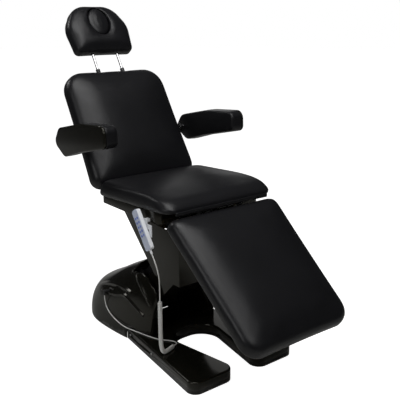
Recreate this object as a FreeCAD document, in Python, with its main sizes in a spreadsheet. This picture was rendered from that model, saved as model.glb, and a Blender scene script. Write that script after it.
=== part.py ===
import FreeCAD, Part
import math
import os
import re
import Sketcher
from FreeCAD import Vector

# Tattoo chair with three motors: a U-shaped base with a domed rear housing, a parallelogram
# lift, a seat carriage, a reclining back with headrest and armrests, and a leg section.
# Millimetres. The chair faces -Y, +X is the sitter's left, +Z is up, and the origin lies on
# the floor under the middle of the chair.

SIZES = [
    ("seat_front_y", -300, "front edge of the seat, the datum for the fore and aft places"),
    ("wall", 4, "wall of the moulded covers"),
    ("seat_gap", 0.3, "clearance between seated pieces"),
    ("run_gap", 0.05, "radial clearance of a shaft in its bore"),
    ("overrun", 6, "how far a cutter runs past what it cuts"),
    ("tube", 30, "side of the square steel tube"),
    ("tube_wall", 2.5, "wall of the square steel tube"),
    ("plate_t", 8, "thickness of the steel plates"),
    ("foot_height", 8, "height of a rubber foot"),
    ("foot_radius", 22, "radius of a rubber foot"),
    ("cover_floor", 5, "floor to the lower rim of the covers"),
    ("plinth_top", 62, "top of the leg cover"),
    ("plinth_round", 9, "rounding of the leg cover's top edge"),
    ("toe_y", -468, "front ends of the two legs"),
    ("toe_half", 304, "half width over the legs at their front"),
    ("toe_inner", 58, "half width between the legs at their front"),
    ("toe_outer_round", 45, "outer corner of a leg's front end"),
    ("toe_inner_round", 50, "inner corner of a leg's front end"),
    ("bay_y", -19, "rear of the bay between the legs"),
    ("bay_half", 137, "half width of the bay at its rear, before the corners are rounded"),
    ("bay_round", 100, "rounding of the bay's rear corners"),
    ("waist_y", 158, "where the leg cover meets the rear housing"),
    ("waist_half", 232, "half width of the leg cover at the waist"),
    ("dome_front_y", 0, "front of the rear housing"),
    ("dome_mid_y", 390, "widest place of the rear housing"),
    ("dome_half", 253, "half width of the rear housing"),
    ("dome_tail", 295, "from the widest place to the rear end"),
    ("dome_crest", 412, "greatest height of the rear housing"),
    ("mouth_half", 154, "half width of the housing's mouth"),
    ("mouth_rear_y", 214, "rear edge of the housing's mouth"),
    ("rail_x", 175, "centre of a base rail from the middle"),
    ("rail_width", 50, "width of a base rail"),
    ("rail_front_y", -430, "front end of the base rails"),
    ("rail_rear_y", 540, "rear end of the base rails"),
    ("tower_half", 95, "inner face of a pivot tower from the middle"),
    ("tower_base", 105, "length of a tower's foot"),
    ("tower_head", 56, "length of a tower's top"),
    ("pivot_y", 220, "base pivots of the lifting arms"),
    ("pivot_z", 190, "height of the lower base pivot"),
    ("pivot_rise", 100, "upper pivot above the lower pivot"),
    ("arm_length", 400, "pivot to pivot length of a lifting arm"),
    ("arm_slope", 45, "slope of the lifting arms in the built position, degrees"),
    ("shaft_radius", 12, "radius of a lift pivot shaft"),
    ("barrel_radius", 20, "radius of a lifting arm's bearing barrel"),
    ("bar_width", 24, "width of a lifting arm's side bar"),
    ("bar_depth", 32, "depth of a lifting arm's side bar"),
    ("arm_cover_half", 132, "half width of the arm cover"),
    ("arm_cover_drop", 115, "arm cover's front face below the arm's line"),
    ("arm_cover_low", 20, "start of the arm cover along the arm"),
    ("arm_cover_high", 378, "end of the arm cover along the arm"),
    ("crank_throw", 85, "lift crank from the lower pivot to its pin"),
    ("pin_radius", 6, "radius of an actuator pin"),
    ("cheek_gap", 11, "inner face of a crank cheek from the rod's line"),
    ("cheek_t", 8, "thickness of a crank cheek"),
    ("eye_half", 10, "half thickness of a rod's end"),
    ("rod_radius", 10, "radius of an actuator rod"),
    ("tube_radius", 22, "radius of an actuator's outer tube"),
    ("motor_radius", 25, "radius of an actuator's motor"),
    ("lift_rear_y", 565, "rear pin of the lift actuator"),
    ("lift_tube_front_y", 325, "front end of the lift actuator's outer tube"),
    ("slot_play", 1.6, "play of a pin along its rod, each side"),
    ("lift_swing", 19, "lifting arms' swing each way from the built position, degrees"),
    ("neck_half", 150, "half width of the neck cover"),
    ("neck_front_y", -172, "front face of the neck cover"),
    ("neck_low_z", 362, "lower edge of the neck cover"),
    ("neck_low_y", 25, "rear end of the neck cover's lower edge"),
    ("neck_front_z", 606, "front end of the neck cover's upper edge"),
    ("neck_rear_z", 640, "rear end of the neck cover's upper edge"),
    ("neck_back_low", 520, "lower edge of the neck cover's rear wall"),
    ("neck_back_high", 598, "upper edge of the neck cover's rear wall"),
    ("seat_slope", 3, "seat's nose-up slope, degrees"),
    ("seat_edge_z", 759, "lower front edge of the seat cushion's side"),
    ("seat_half", 305, "half width of the seat cushion"),
    ("seat_tuck", 5, "how far the seat cushion runs in behind the lower end of the back's face"),
    ("seat_thick", 80, "height of the seat cushion"),
    ("seat_front_round", 55, "front corners of the seat cushion"),
    ("seat_rear_round", 26, "rear corners of the seat cushion"),
    ("board_t", 14, "thickness of the plywood boards"),
    ("rim", 16, "cushion's rim round its board"),
    ("rail_in_x", 103, "inner face of a seat rail from the middle"),
    ("tray_half", 290, "half width of the seat tray"),
    ("tray_low_z", 697, "lower edge of the seat tray"),
    ("tray_rear_y", 260, "rear face of the seat tray"),
    ("tray_front_y", -218, "front face of the seat tray"),
    ("tray_gate_half", 180, "half width of the opening in the seat tray's rear wall"),
    ("tray_corner", 34, "corner radius of the seat tray"),
    ("tray_lip", 35, "width of the seat tray's floor"),
    ("hinge_pin", 5, "radius of the leg hinge's pin"),
    ("leg_barrel", 8, "radius of the leg hinge's lugs"),
    ("leg_hinge_y", -289, "leg hinge, fore and aft"),
    ("leg_hinge_z", 749, "height of the leg hinge"),
    ("leg_lug_x", 111, "inner face of a leg hinge lug from the middle"),
    ("leg_slope", 39.5, "leg section's slope below level, degrees"),
    ("leg_face_y", -302, "upper end of the leg section's face, fore and aft"),
    ("leg_face_z", 770, "height of the upper end of the leg section's face"),
    ("leg_half", 306, "half width of the leg cushion at its top"),
    ("leg_low_half", 290, "half width of the leg cushion at its lower end"),
    ("leg_start", 12, "leg cushion's upper edge along the face"),
    ("leg_end", 676, "leg cushion's lower edge along the face"),
    ("leg_thick", 72, "thickness of the leg cushion"),
    ("leg_low_round", 80, "lower corners of the leg cushion"),
    ("leg_top_round", 40, "upper corners of the leg cushion"),
    ("leg_rail_x", 150, "centre of a leg rail from the middle"),
    ("leg_crank", 120, "leg crank from hinge to pin"),
    ("leg_crank_turn", 14.5, "leg crank's angle behind the vertical, degrees"),
    ("leg_swing", 23.5, "leg crank's swing each way from the vertical, degrees"),
    ("back_shaft", 9, "radius of the back hinge shaft"),
    ("back_barrel", 12, "radius of the back hinge's lugs"),
    ("back_lug_x", 127, "inner face of a back hinge lug from the middle"),
    ("back_rail_x", 150, "centre of a back rail from the middle"),
    ("back_rail_low", 40, "lower end of the back rails"),
    ("back_rail_high", 520, "upper end of the back rails"),
    ("back_slope", 31.4, "back section's slope from the vertical, degrees"),
    ("back_face_y", 255, "lower end of the back's face, fore and aft"),
    ("back_face_z", 766, "height of the lower end of the back's face"),
    ("back_low_half", 304, "half width of the back cushion at its foot"),
    ("back_top_half", 287, "half width of the back cushion at its top"),
    ("back_start", 4, "back cushion's lower edge along the face"),
    ("back_end", 617, "back cushion's upper edge along the face"),
    ("back_thick", 90, "thickness of the back cushion"),
    ("back_low_round", 55, "lower corners of the back cushion"),
    ("back_top_round", 105, "upper corners of the back cushion"),
    ("board_round", 90, "corners of the back and leg boards"),
    ("back_hinge_drop", 9, "back hinge below the foot of the face"),
    ("back_hinge_depth", 45, "back hinge behind the face"),
    ("back_crank", 105, "back crank from hinge to pin"),
    ("back_crank_turn", 25, "back crank's angle behind the vertical, degrees"),
    ("back_swing", 33, "back crank's swing each way from the vertical, degrees"),
    ("rod_x", 50, "back and leg actuators beside the middle"),
    ("hanger_y", -5, "fixed pins of the back and leg actuators, fore and aft"),
    ("back_tube_end", 205, "rear end of the back actuator's tube"),
    ("leg_tube_end", -218, "front end of the leg actuator's tube"),
    ("gear_length", 34, "length of an actuator's gear housing"),
    ("motor_length", 92, "length of an actuator's motor"),
    ("post_half", 72, "headrest post from the middle"),
    ("post_radius", 6, "radius of a headrest post"),
    ("post_depth", 44, "headrest posts behind the face"),
    ("post_low", 470, "lower end of the posts along the back"),
    ("post_high", 800, "upper end of the posts along the back"),
    ("guide_radius", 11, "outer radius of a post guide"),
    ("guide_low", 378, "lower end of the post guides"),
    ("guide_high", 630, "upper end of the post guides"),
    ("head_start", 716, "headrest's lower edge along the back"),
    ("head_end", 987, "headrest's upper edge along the back"),
    ("head_thick", 76, "thickness of the headrest cushion"),
    ("head_low_half", 166, "half width of the headrest at its lower edge"),
    ("head_mid_half", 183, "half width of the headrest at its widest"),
    ("head_top_half", 112, "half width of the headrest at its upper edge"),
    ("head_mid", 868, "widest place of the headrest along the back"),
    ("head_low_round", 28, "lower corners of the headrest"),
    ("head_mid_round", 120, "side corners of the headrest"),
    ("head_top_round", 115, "upper corners of the headrest"),
    ("hole_gap", 0.5, "gap round the oval plug"),
    ("plug_half_x", 59, "half width of the oval plug"),
    ("plug_half_s", 77, "half length of the oval plug"),
    ("plug_mid", 884, "middle of the oval plug along the back"),
    ("armrest_in", 322, "inner face of an armrest"),
    ("armrest_out", 398, "outer face of an armrest"),
    ("shell_t", 13, "thickness of an armrest's side shell"),
    ("arm_front_y", 16, "front end of an armrest, fore and aft"),
    ("arm_base_z", 903, "height of an armrest's lower end"),
    ("arm_span", 484, "length of an armrest, fore and aft"),
    ("arm_bolt_s", 272, "armrest bolt along the back"),
    ("arm_bolt_depth", 45, "armrest bolt behind the face"),
    ("arm_bolt_radius", 8, "radius of an armrest bolt"),
    ("bracket_x", 306, "inner face of an armrest bracket"),
    ("hand_x", -323, "middle of the handset"),
    ("hand_y", -204, "lower end of the handset, fore and aft"),
    ("hand_z", 593, "height of the handset's lower end"),
    ("hand_lean", 35.4, "handset's lean, degrees"),
    ("hand_length", 186, "length of the handset"),
    ("hand_half", 21, "half width of the handset"),
    ("hand_t", 20, "thickness of the handset"),
    ("key_radius", 5.2, "radius of a key"),
    ("key_pitch", 20, "distance between key rows"),
    ("key_column", 8.5, "key column from the middle"),
    ("key_first", 68, "first key row above the handset's lower end"),
    ("key_travel", 1.2, "travel of a key"),
    ("cord_radius", 2.6, "radius of the handset cord"),
    ("curl_radius", 8.6, "outer radius of the cord's curls"),
    ("curl_wire", 2.4, "radius of the wire in the curls"),
    ("strain_length", 18, "length of the handset's strain relief"),
    ("curl_pitch", 11.5, "distance from one curl to the next"),
    ("curl_x", -270, "upper end of the curled part, across the chair"),
    ("curl_y", -190, "upper end of the curled part, fore and aft"),
    ("curl_top", 338, "height of the curled part's upper end"),
    ("curl_bend", 42, "radius of the curled part's bend on the leg cover"),
    ("curl_tail", 62, "length of the curled part that lies on the leg cover"),
    ("cord_reach", 100, "the length that the lower cord's corners are counted in"),
    ("gland_x", -246, "middle of the cord gland's mouth, across the chair"),
    ("gland_y", 345, "cord gland, fore and aft"),
    ("gland_z", 176, "lower face of the cord gland"),
    ("gland_radius", 8, "radius of the cord gland"),
    ("inlet_x", 85, "middle of the power inlet"),
    ("inlet_y", 645, "front of the power inlet"),
    ("inlet_z", 34, "height of the power inlet's lower face"),
    ("plinth_screw_z", 36, "height of the leg cover's screws"),
    ("plinth_screw_y", -100, "front screws of the leg cover"),
    ("plinth_screw_pitch", 220, "from the front screws to the rear ones"),
    ("screw_radius", 5, "radius of a cover screw's head"),
]

doc = FreeCAD.newDocument("tattoo_chair")
sheet = doc.addObject("Spreadsheet::Sheet", "Sizes")
sheet.set("A1", "meaning")
sheet.set("B1", "value")
for row, (alias, value, meaning) in enumerate(SIZES, start=2):
    sheet.set(f"A{row}", meaning)
    sheet.set(f"B{row}", str(value))
    sheet.setAlias(f"B{row}", alias)
doc.recompute()

KNOWN = {alias for alias, value, meaning in SIZES}


class Values:
    """Reads a size from the sheet by its name."""

    def __getattr__(self, alias):
        return float(sheet.get(alias))


v = Values()
pieces = {}


def linked(text):
    """An expression in which every size's name points to its cell in the sheet."""
    return re.sub(r"[a-z][a-z_0-9]*", lambda m: "Sizes." + m.group() if m.group() in KNOWN else m.group(), text)


def bind(thing, **expressions):
    for name, text in expressions.items():
        thing.setExpression(name, linked(text))
    return thing


def spot(x, y, z, axis="1; 0; 0", turn="0"):
    """Placement expression: a place and a turn about one axis."""
    return f"placement(vector({x}; {y}; {z}); rotation(vector({axis}); {turn}))"


ROW = spot("0", "0", "0")
ARM = spot("0", "pivot_y", "pivot_z", turn="-arm_slope")
HIGH_ARM = spot("0", "pivot_y", "pivot_z + pivot_rise", turn="-arm_slope")
SEAT = spot("0", "seat_front_y", "seat_edge_z", turn="-seat_slope")
SEAT_LONG = "(back_face_y - seat_front_y + seat_tuck)"
LEG = spot("0", "leg_face_y", "leg_face_z", turn="leg_slope")
BACK = spot("0", "back_face_y", "back_face_z", turn="-back_slope")
HAND = spot("hand_x", "hand_y", "hand_z", turn="-hand_lean")

HEAD_Y = "(pivot_y - arm_length * cos(arm_slope))"
HEAD_Z = "(pivot_z + arm_length * sin(arm_slope))"
BACK_Y = "(back_face_y - back_hinge_drop * sin(back_slope) + back_hinge_depth * cos(back_slope))"
BACK_Z = "(back_face_z - back_hinge_drop * cos(back_slope) - back_hinge_depth * sin(back_slope))"


def box(x, y, z, dx, dy, dz, frame=ROW):
    made = doc.addObject("Part::Box", "Block")
    bind(made, Length=dx, Width=dy, Height=dz)
    return bind(made, Placement=frame + " * " + spot(x, y, z))


def rod(x, y, z, radius, length, frame=ROW):
    """A cylinder along +X."""
    made = bind(doc.addObject("Part::Cylinder", "Rod"), Radius=radius, Height=length)
    return bind(made, Placement=frame + " * " + spot(x, y, z, "0; 1; 0", "90"))


def stem(x, y, z, radius, length, frame=ROW):
    """A cylinder along +Z."""
    made = bind(doc.addObject("Part::Cylinder", "Stem"), Radius=radius, Height=length)
    return bind(made, Placement=frame + " * " + spot(x, y, z))


def bar(x, y, z, radius, length, frame=ROW):
    """A cylinder along +Y."""
    made = bind(doc.addObject("Part::Cylinder", "Bar"), Radius=radius, Height=length)
    return bind(made, Placement=frame + " * " + spot(x, y, z, "1; 0; 0", "-90"))


def outline_sketch(body, role, offset, corners, circles=()):
    """A closed outline on one of the body's planes, every corner held by two bound sizes."""
    sketch = body.newObject("Sketcher::SketchObject", "Outline")
    plane = [item for item in body.Origin.OriginFeatures if item.Role == role][0]
    sketch.AttachmentSupport = [(plane, "")]
    sketch.MapMode = "FlatFace"
    sketch.setExpression("AttachmentOffset.Base.z", linked(offset))
    points = [(number(u), number(w)) for u, w in corners]
    for i, start in enumerate(points):
        end = points[(i + 1) % len(points)]
        sketch.addGeometry(Part.LineSegment(Vector(*start, 0), Vector(*end, 0)), False)
    for i in range(len(points)):
        sketch.addConstraint(Sketcher.Constraint("Coincident", i, 2, (i + 1) % len(points), 1))
    for i, (u, w) in enumerate(corners):
        for kind, text, value in (("DistanceX", u, points[i][0]), ("DistanceY", w, points[i][1])):
            index = sketch.addConstraint(Sketcher.Constraint(kind, -1, 1, i, 1, value))
            sketch.setExpression(f"Constraints[{index}]", linked(text))
    for u, w, radius in circles:
        middle = Vector(number(u), number(w), 0)
        geo = sketch.addGeometry(Part.Circle(middle, Vector(0, 0, 1), number(radius)), False)
        for kind, text, value in (("DistanceX", u, middle.x), ("DistanceY", w, middle.y)):
            index = sketch.addConstraint(Sketcher.Constraint(kind, -1, 1, geo, 3, value))
            sketch.setExpression(f"Constraints[{index}]", linked(text))
        index = sketch.addConstraint(Sketcher.Constraint("Radius", geo, number(radius)))
        sketch.setExpression(f"Constraints[{index}]", linked(radius))
    return sketch


def number(text):
    """The present value of an expression."""
    probe = doc.addObject("App::FeaturePython", "Probe")
    probe.addProperty("App::PropertyFloat", "Value")
    probe.setExpression("Value", linked(text))
    probe.recompute()
    value = probe.Value
    doc.removeObject(probe.Name)
    return value


def prism(corners, start, depth, frame=ROW, role="YZ_Plane", circles=()):
    """A padded outline. On YZ_Plane the pad runs along +X, on XY_Plane along +Z."""
    body = doc.addObject("PartDesign::Body", "Plate")
    sketch = outline_sketch(body, role, start, corners, circles)
    pad = body.newObject("PartDesign::Pad", "Pad")
    pad.Profile = sketch
    bind(pad, Length=depth)
    sketch.Visibility = False
    if frame != ROW:
        bind(body, Placement=frame)
    return body


def softened(body, radius, wanted):
    """Fillets the edges of a body's pad that a test picks."""
    doc.recompute()
    pad = body.Tip
    names = [f"Edge{i}" for i, edge in enumerate(pad.Shape.Edges, start=1) if wanted(edge)]
    fillet = body.newObject("PartDesign::Fillet", "Rounding")
    fillet.Base = (pad, names)
    bind(fillet, Radius=radius)
    return body


def joined(label, *parts):
    if len(parts) == 1:
        parts[0].Label = label
        return parts[0]
    made = doc.addObject("Part::MultiFuse", "Joined")
    made.Shapes = list(parts)
    made.Label = label
    return made


def trimmed(label, base, *tools):
    made = doc.addObject("Part::Cut", "Trimmed")
    made.Base = base
    made.Tool = tools[0] if len(tools) == 1 else joined(label + "_cutters", *tools)
    made.Label = label
    return made


def shaped(label, shape, frame=ROW):
    """A shape that Part's own functions made from the sheet's sizes."""
    made = doc.addObject("Part::Feature", "Shaped")
    made.Shape = shape
    made.Label = label
    if frame != ROW:
        bind(made, Placement=frame)
    return made


def piece(label, made):
    made.Label = label
    pieces[label] = made
    return made


def tube_box(x, y, z, dx, dy, dz, along, frame=ROW):
    """Square steel tube: a box with its hollow run right through along one direction."""
    outer = box(x, y, z, dx, dy, dz, frame)
    low, size = [x, y, z], [dx, dy, dz]
    for i in range(3):
        if i == "xyz".index(along):
            low[i], size[i] = f"{low[i]} - overrun", f"{size[i]} + 2 * overrun"
        else:
            low[i], size[i] = f"{low[i]} + tube_wall", f"{size[i]} - 2 * tube_wall"
    return trimmed("Tube", outer, box(*low, *size, frame))


def flat(level):
    return lambda u, w: Vector(u, w, level)


def upright(level):
    """A drawing plane across the chair at one place along Y: u is X, w is Z."""
    return lambda u, w: Vector(u, level, w)


def faced(depth):
    """A drawing plane behind the back's face: u is X, w runs up the back."""
    return lambda u, w: Vector(u, depth, w)


def below(height):
    """A drawing plane under the leg section's face: u is X, w runs down the leg."""
    return lambda u, w: Vector(u, -w, height)


def inset_corners(corners, inset, least_share=0.35):
    """The corners of an outline moved in by one distance, with their radii made smaller."""
    count, moved = len(corners), []
    area = sum(corners[i][0] * corners[(i + 1) % count][1] - corners[(i + 1) % count][0] * corners[i][1]
               for i in range(count))
    side = 1 if area > 0 else -1
    lines = []
    for i in range(count):
        (ax, ay), (bx, by) = corners[i][:2], corners[(i + 1) % count][:2]
        length = math.hypot(bx - ax, by - ay)
        nx, ny = -(by - ay) / length * side, (bx - ax) / length * side
        lines.append((ax + nx * inset, ay + ny * inset, bx - ax, by - ay))
    for i in range(count):
        (px, py, dx, dy), (qx, qy, ex, ey) = lines[i - 1], lines[i]
        share = ((qx - px) * ey - (qy - py) * ex) / (dx * ey - dy * ex)
        radius = max(corners[i][2] - inset, corners[i][2] * least_share)
        moved.append((px + dx * share, py + dy * share, radius))
    return moved


def rounded_wire(corners, plane, bow=None):
    """A closed wire of sides and corner arcs; bow gives the rise of each side at its middle."""
    count, joints = len(corners), []
    for i, (x, y, radius) in enumerate(corners):
        before = Vector(corners[i - 1][0] - x, corners[i - 1][1] - y, 0).normalize()
        after = Vector(corners[(i + 1) % count][0] - x, corners[(i + 1) % count][1] - y, 0).normalize()
        half = before.getAngle(after) / 2
        reach = radius / math.tan(half)
        middle = Vector(x, y, 0) + (before + after).normalize() * (radius / math.sin(half) - radius)
        joints.append((Vector(x, y, 0) + before * reach, middle, Vector(x, y, 0) + after * reach))
    edges = []
    for i in range(count):
        start, middle, end = joints[i]
        edges.append(Part.Arc(plane(start.x, start.y), plane(middle.x, middle.y), plane(end.x, end.y)).toShape())
        far = joints[(i + 1) % count][0]
        rise = bow[i] if bow else 0
        if rise:
            along = (far - end).normalize()
            peak = (end + far) * 0.5 + Vector(along.y, -along.x, 0) * rise
            edges.append(Part.Arc(plane(end.x, end.y), plane(peak.x, peak.y), plane(far.x, far.y)).toShape())
        else:
            edges.append(Part.LineSegment(plane(end.x, end.y), plane(far.x, far.y)).toShape())
    return Part.Wire(edges)


def pillow(corners, plane_at, levels, bow_share):
    """A cushion: outlines stacked from its flat back to its crown, each moved in by its own amount."""
    wires = []
    for level, inset in levels:
        points = inset_corners(corners, inset)
        bow = [-bow_share * math.hypot(points[(i + 1) % len(points)][0] - p[0],
                                       points[(i + 1) % len(points)][1] - p[1]) for i, p in enumerate(points)]
        wires.append(rounded_wire(points, plane_at(level), bow))
    return Part.makeLoft(wires, True, True)


# Leg cover: a U-shaped moulding 4 mm thick, open below, with a bay between its two legs
def leg_outline():
    return [(-v.toe_half, v.toe_y, v.toe_outer_round), (-v.toe_inner, v.toe_y, v.toe_inner_round),
            (-v.bay_half, v.bay_y, v.bay_round), (v.bay_half, v.bay_y, v.bay_round),
            (v.toe_inner, v.toe_y, v.toe_inner_round), (v.toe_half, v.toe_y, v.toe_outer_round),
            (v.waist_half, v.waist_y, v.wall), (-v.waist_half, v.waist_y, v.wall)]


def leg_cover():
    up = Vector(0, 0, 1)
    face = Part.Face(rounded_wire(leg_outline(), flat(v.cover_floor)))
    block = face.extrude(up * (v.plinth_top - v.cover_floor))
    top = [edge for edge in block.Edges if edge.BoundBox.ZMin > v.plinth_top - v.wall / 2]
    block = block.makeFillet(v.plinth_round, top)
    core = face.makeOffset2D(-v.wall).extrude(up * (v.plinth_top - v.cover_floor - v.wall))
    gate_half = v.waist_half - 2 * v.wall
    gate = Part.makeBox(2 * gate_half, 3 * v.wall, v.plinth_top - v.wall - v.cover_floor + v.overrun,
                        Vector(-gate_half, v.waist_y - 2 * v.wall, v.cover_floor - v.overrun))
    return block.cut([core, gate])


def screw_places():
    """Screw heads on the leg cover's two sloping outer walls: side, X of the wall, Y."""
    places = []
    for y in (v.plinth_screw_y, v.plinth_screw_y + v.plinth_screw_pitch):
        share = (y - v.toe_y) / (v.waist_y - v.toe_y)
        for side in (-1, 1):
            places.append((side, side * (v.toe_half + share * (v.waist_half - v.toe_half)), y))
    return places


def screw_rods(radius, out, into):
    made = []
    for side, x, y in screw_places():
        start = Vector(x + side * out, y, v.plinth_screw_z)
        made.append(Part.makeCylinder(radius, out + into, start, Vector(-side, 0, 0)))
    return made


piece("leg_cover", trimmed("leg_cover", shaped("leg_cover_shell", leg_cover()),
                           shaped("screw_holes", Part.makeCompound(screw_rods(v.screw_radius + v.seat_gap, v.wall,
                                                                              3 * v.wall)))))
piece("cover_screws", shaped("cover_screws", Part.makeCompound(screw_rods(v.screw_radius, v.wall / 2, 2 * v.wall))))


# Rear housing: a dome lofted through arched sections, hollowed by a smaller dome, with a
# mouth at its front for the lifting arms. This moulding is the one that takes the most skill.
WIDTH_SHARES = [(0.0, 0.775), (0.103, 0.838), (0.256, 0.893), (0.436, 0.941), (0.667, 0.98), (0.923, 1.0)]
CREST_SHARES = [(0.0, 0.903), (0.058, 0.966), (0.146, 1.0), (0.248, 0.951), (0.38, 0.845), (0.526, 0.728),
                (0.672, 0.597), (0.803, 0.493), (0.905, 0.384), (0.971, 0.25), (0.9985, 0.05)]
ARCH_POWER = 2.5


def between(table, place):
    for (a, low), (b, high) in zip(table, table[1:]):
        if place <= b:
            return low + (high - low) * (place - a) / (b - a)
    return table[-1][1]


def dome(shrink, ruled):
    front, mid = v.dome_front_y, v.dome_mid_y
    total = mid - front + v.dome_tail
    wires = []
    for share, crest in CREST_SHARES:
        y = front + share * total
        if y <= mid:
            half = v.dome_half * between(WIDTH_SHARES, (y - front) / (mid - front))
        else:
            half = v.dome_half * math.sqrt(1 - ((y - mid) / v.dome_tail) ** 2)
        crest_z = v.dome_crest * crest
        factor = 1 - shrink / crest_z if crest_z > 2 * shrink else 0.5
        points = []
        for step in range(13):
            turn = math.pi * step / 12
            c, s = math.cos(turn), math.sin(turn)
            x = (half - shrink) * math.copysign(abs(c) ** (2 / ARCH_POWER), c)
            points.append(Vector(x, y, crest_z * factor * abs(s) ** (2 / ARCH_POWER)))
        points[0].z = points[-1].z = 0
        arch = Part.BSplineCurve()
        arch.interpolate(points)
        wires.append(Part.Wire([arch.toShape(), Part.LineSegment(points[-1], points[0]).toShape()]))
    return Part.makeLoft(wires, True, ruled)


def dome_cover():
    wide, tall = 2 * v.dome_half, v.dome_crest + v.overrun
    front, rear = v.dome_front_y, v.dome_mid_y + v.dome_tail

    def cutter(x, y, z, dx, dy, dz):
        return Part.makeBox(dx, dy, dz, Vector(x, y, z))

    outer, inner = dome(0, False), dome(v.wall, True)
    ends = cutter(-wide, front + v.wall, -v.overrun, 2 * wide, rear - front - 2 * v.wall, tall + 2 * v.overrun)
    shell = outer.cut(inner.common(ends))
    mouth = cutter(-v.mouth_half, front - v.overrun, -v.overrun, 2 * v.mouth_half,
                   v.mouth_rear_y - front + v.overrun, tall + 2 * v.overrun)
    shell = shell.cut(mouth)
    cheeks = []
    for side in (-1, 1):
        x = side * v.mouth_half if side > 0 else -v.mouth_half - v.wall
        cheeks.append(cutter(x, front, v.plinth_top + v.seat_gap, v.wall, v.mouth_rear_y - front, tall).common(outer))
    shell = shell.fuse(cheeks)
    seat = v.waist_y + v.seat_gap
    shell = shell.cut(cutter(-wide, front - v.overrun, -v.overrun, 2 * wide, seat - front + v.overrun,
                             v.plinth_top + v.seat_gap + v.overrun))
    shell = shell.cut(cutter(-wide, front - v.overrun, -v.overrun, 2 * wide, rear - front + 2 * v.overrun,
                             v.cover_floor + v.overrun))
    return shell.removeSplitter()


gland_hole = rod("gland_x + gland_radius", "gland_y", "gland_z + 2 * gland_radius", "gland_radius + seat_gap",
                 "8 * gland_radius")
inlet_window = box("inlet_x - 2 * tube / 2 - seat_gap", "inlet_y - seat_gap", "inlet_z - seat_gap",
                   "2 * (tube + seat_gap)", "2 * tube", "tube + 2 * seat_gap")
piece("rear_housing", trimmed("rear_housing", shaped("housing_shell", dome_cover()), gland_hole, inlet_window))
gland = [stem("gland_x", "gland_y", "gland_z", "gland_radius", "3 * gland_radius"),
         rod("gland_x", "gland_y", "gland_z + 2 * gland_radius", "gland_radius", "4.5 * gland_radius")]
piece("cord_gland", joined("cord_gland", *gland))
piece("power_inlet", box("inlet_x - tube", "inlet_y", "inlet_z", "2 * tube", "tube", "tube"))

# Base frame: two long rails, cross rails, pivot towers and the actuator's rear lugs
RAIL_TOP = "(plinth_top - wall - seat_gap)"
RAIL_HIGH = "(plinth_top - wall - seat_gap - foot_height)"
rails = []
for side in ("-1", "1"):
    rails.append(tube_box(f"{side} * rail_x - rail_width / 2", "rail_front_y", "foot_height", "rail_width",
                          "rail_rear_y - rail_front_y", RAIL_HIGH, "y"))
cross = "(rail_x - rail_width / 2) * 2"
for y in ("bay_y + tube", "pivot_y - tube / 2", "rail_rear_y - 2 * tube"):
    rails.append(tube_box("-(rail_x - rail_width / 2)", y, "foot_height", cross, "tube", RAIL_HIGH, "x"))
for side, start in (("-1", "-(tower_half + plate_t)"), ("1", "tower_half")):
    rails.append(prism(
        [("pivot_y - tower_base / 2", "foot_height"), ("pivot_y + tower_base / 2", "foot_height"),
         ("pivot_y + tower_head / 2", "pivot_z + pivot_rise + tower_head / 2"),
         ("pivot_y - tower_head / 2", "pivot_z + pivot_rise + tower_head / 2")],
        start, "plate_t",
        circles=[("pivot_y", "pivot_z", "shaft_radius + run_gap"),
                 ("pivot_y", "pivot_z + pivot_rise", "shaft_radius + run_gap")]))
CRANK_Z = "(pivot_z - crank_throw)"
for start in ("-(cheek_gap + cheek_t)", "cheek_gap"):
    rails.append(prism(
        [("rail_rear_y - 1.5 * tube", "foot_height"), ("lift_rear_y + pin_radius * 3", "foot_height"),
         ("lift_rear_y + pin_radius * 3", f"{CRANK_Z} + pin_radius * 3"),
         ("lift_rear_y - pin_radius * 3", f"{CRANK_Z} + pin_radius * 3"),
         ("lift_rear_y - pin_radius * 3", RAIL_TOP), ("rail_rear_y - 1.5 * tube", RAIL_TOP)],
        start, "cheek_t", circles=[("lift_rear_y", CRANK_Z, "pin_radius + run_gap")]))
piece("base_frame", joined("base_frame", *rails))

feet = []
for side in ("-1", "1"):
    for y in ("rail_front_y + tube", "(rail_front_y + rail_rear_y) / 2", "rail_rear_y - tube"):
        feet.append(stem(f"{side} * rail_x", y, "0", "foot_radius", "foot_height"))
piece("rubber_feet", joined("rubber_feet", *feet))

# Control box on the rails under the rear housing
piece("control_box", box("-(rail_x - rail_width / 2)", "pivot_y + tower_base / 2 + tube", f"{RAIL_TOP} + seat_gap",
                         "rail_x - rail_width - tube_radius", "4 * tube", "1.5 * tube"))


# Linear actuators. Each lies along Y: an eye on its fixed pin, a gear housing with the motor
# beside the tube, and a tube in which the rod slides. The rod's flat end has an upright slot,
# because the crank's pin rises and falls a little while the rod stays level.
def span(base, way, near, far):
    """Start and length of a stretch from near to far along Y, counted from a base, ahead or behind."""
    start = f"{base} + {near}" if way > 0 else f"{base} - ({far})"
    return start, f"({far}) - ({near})"


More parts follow.
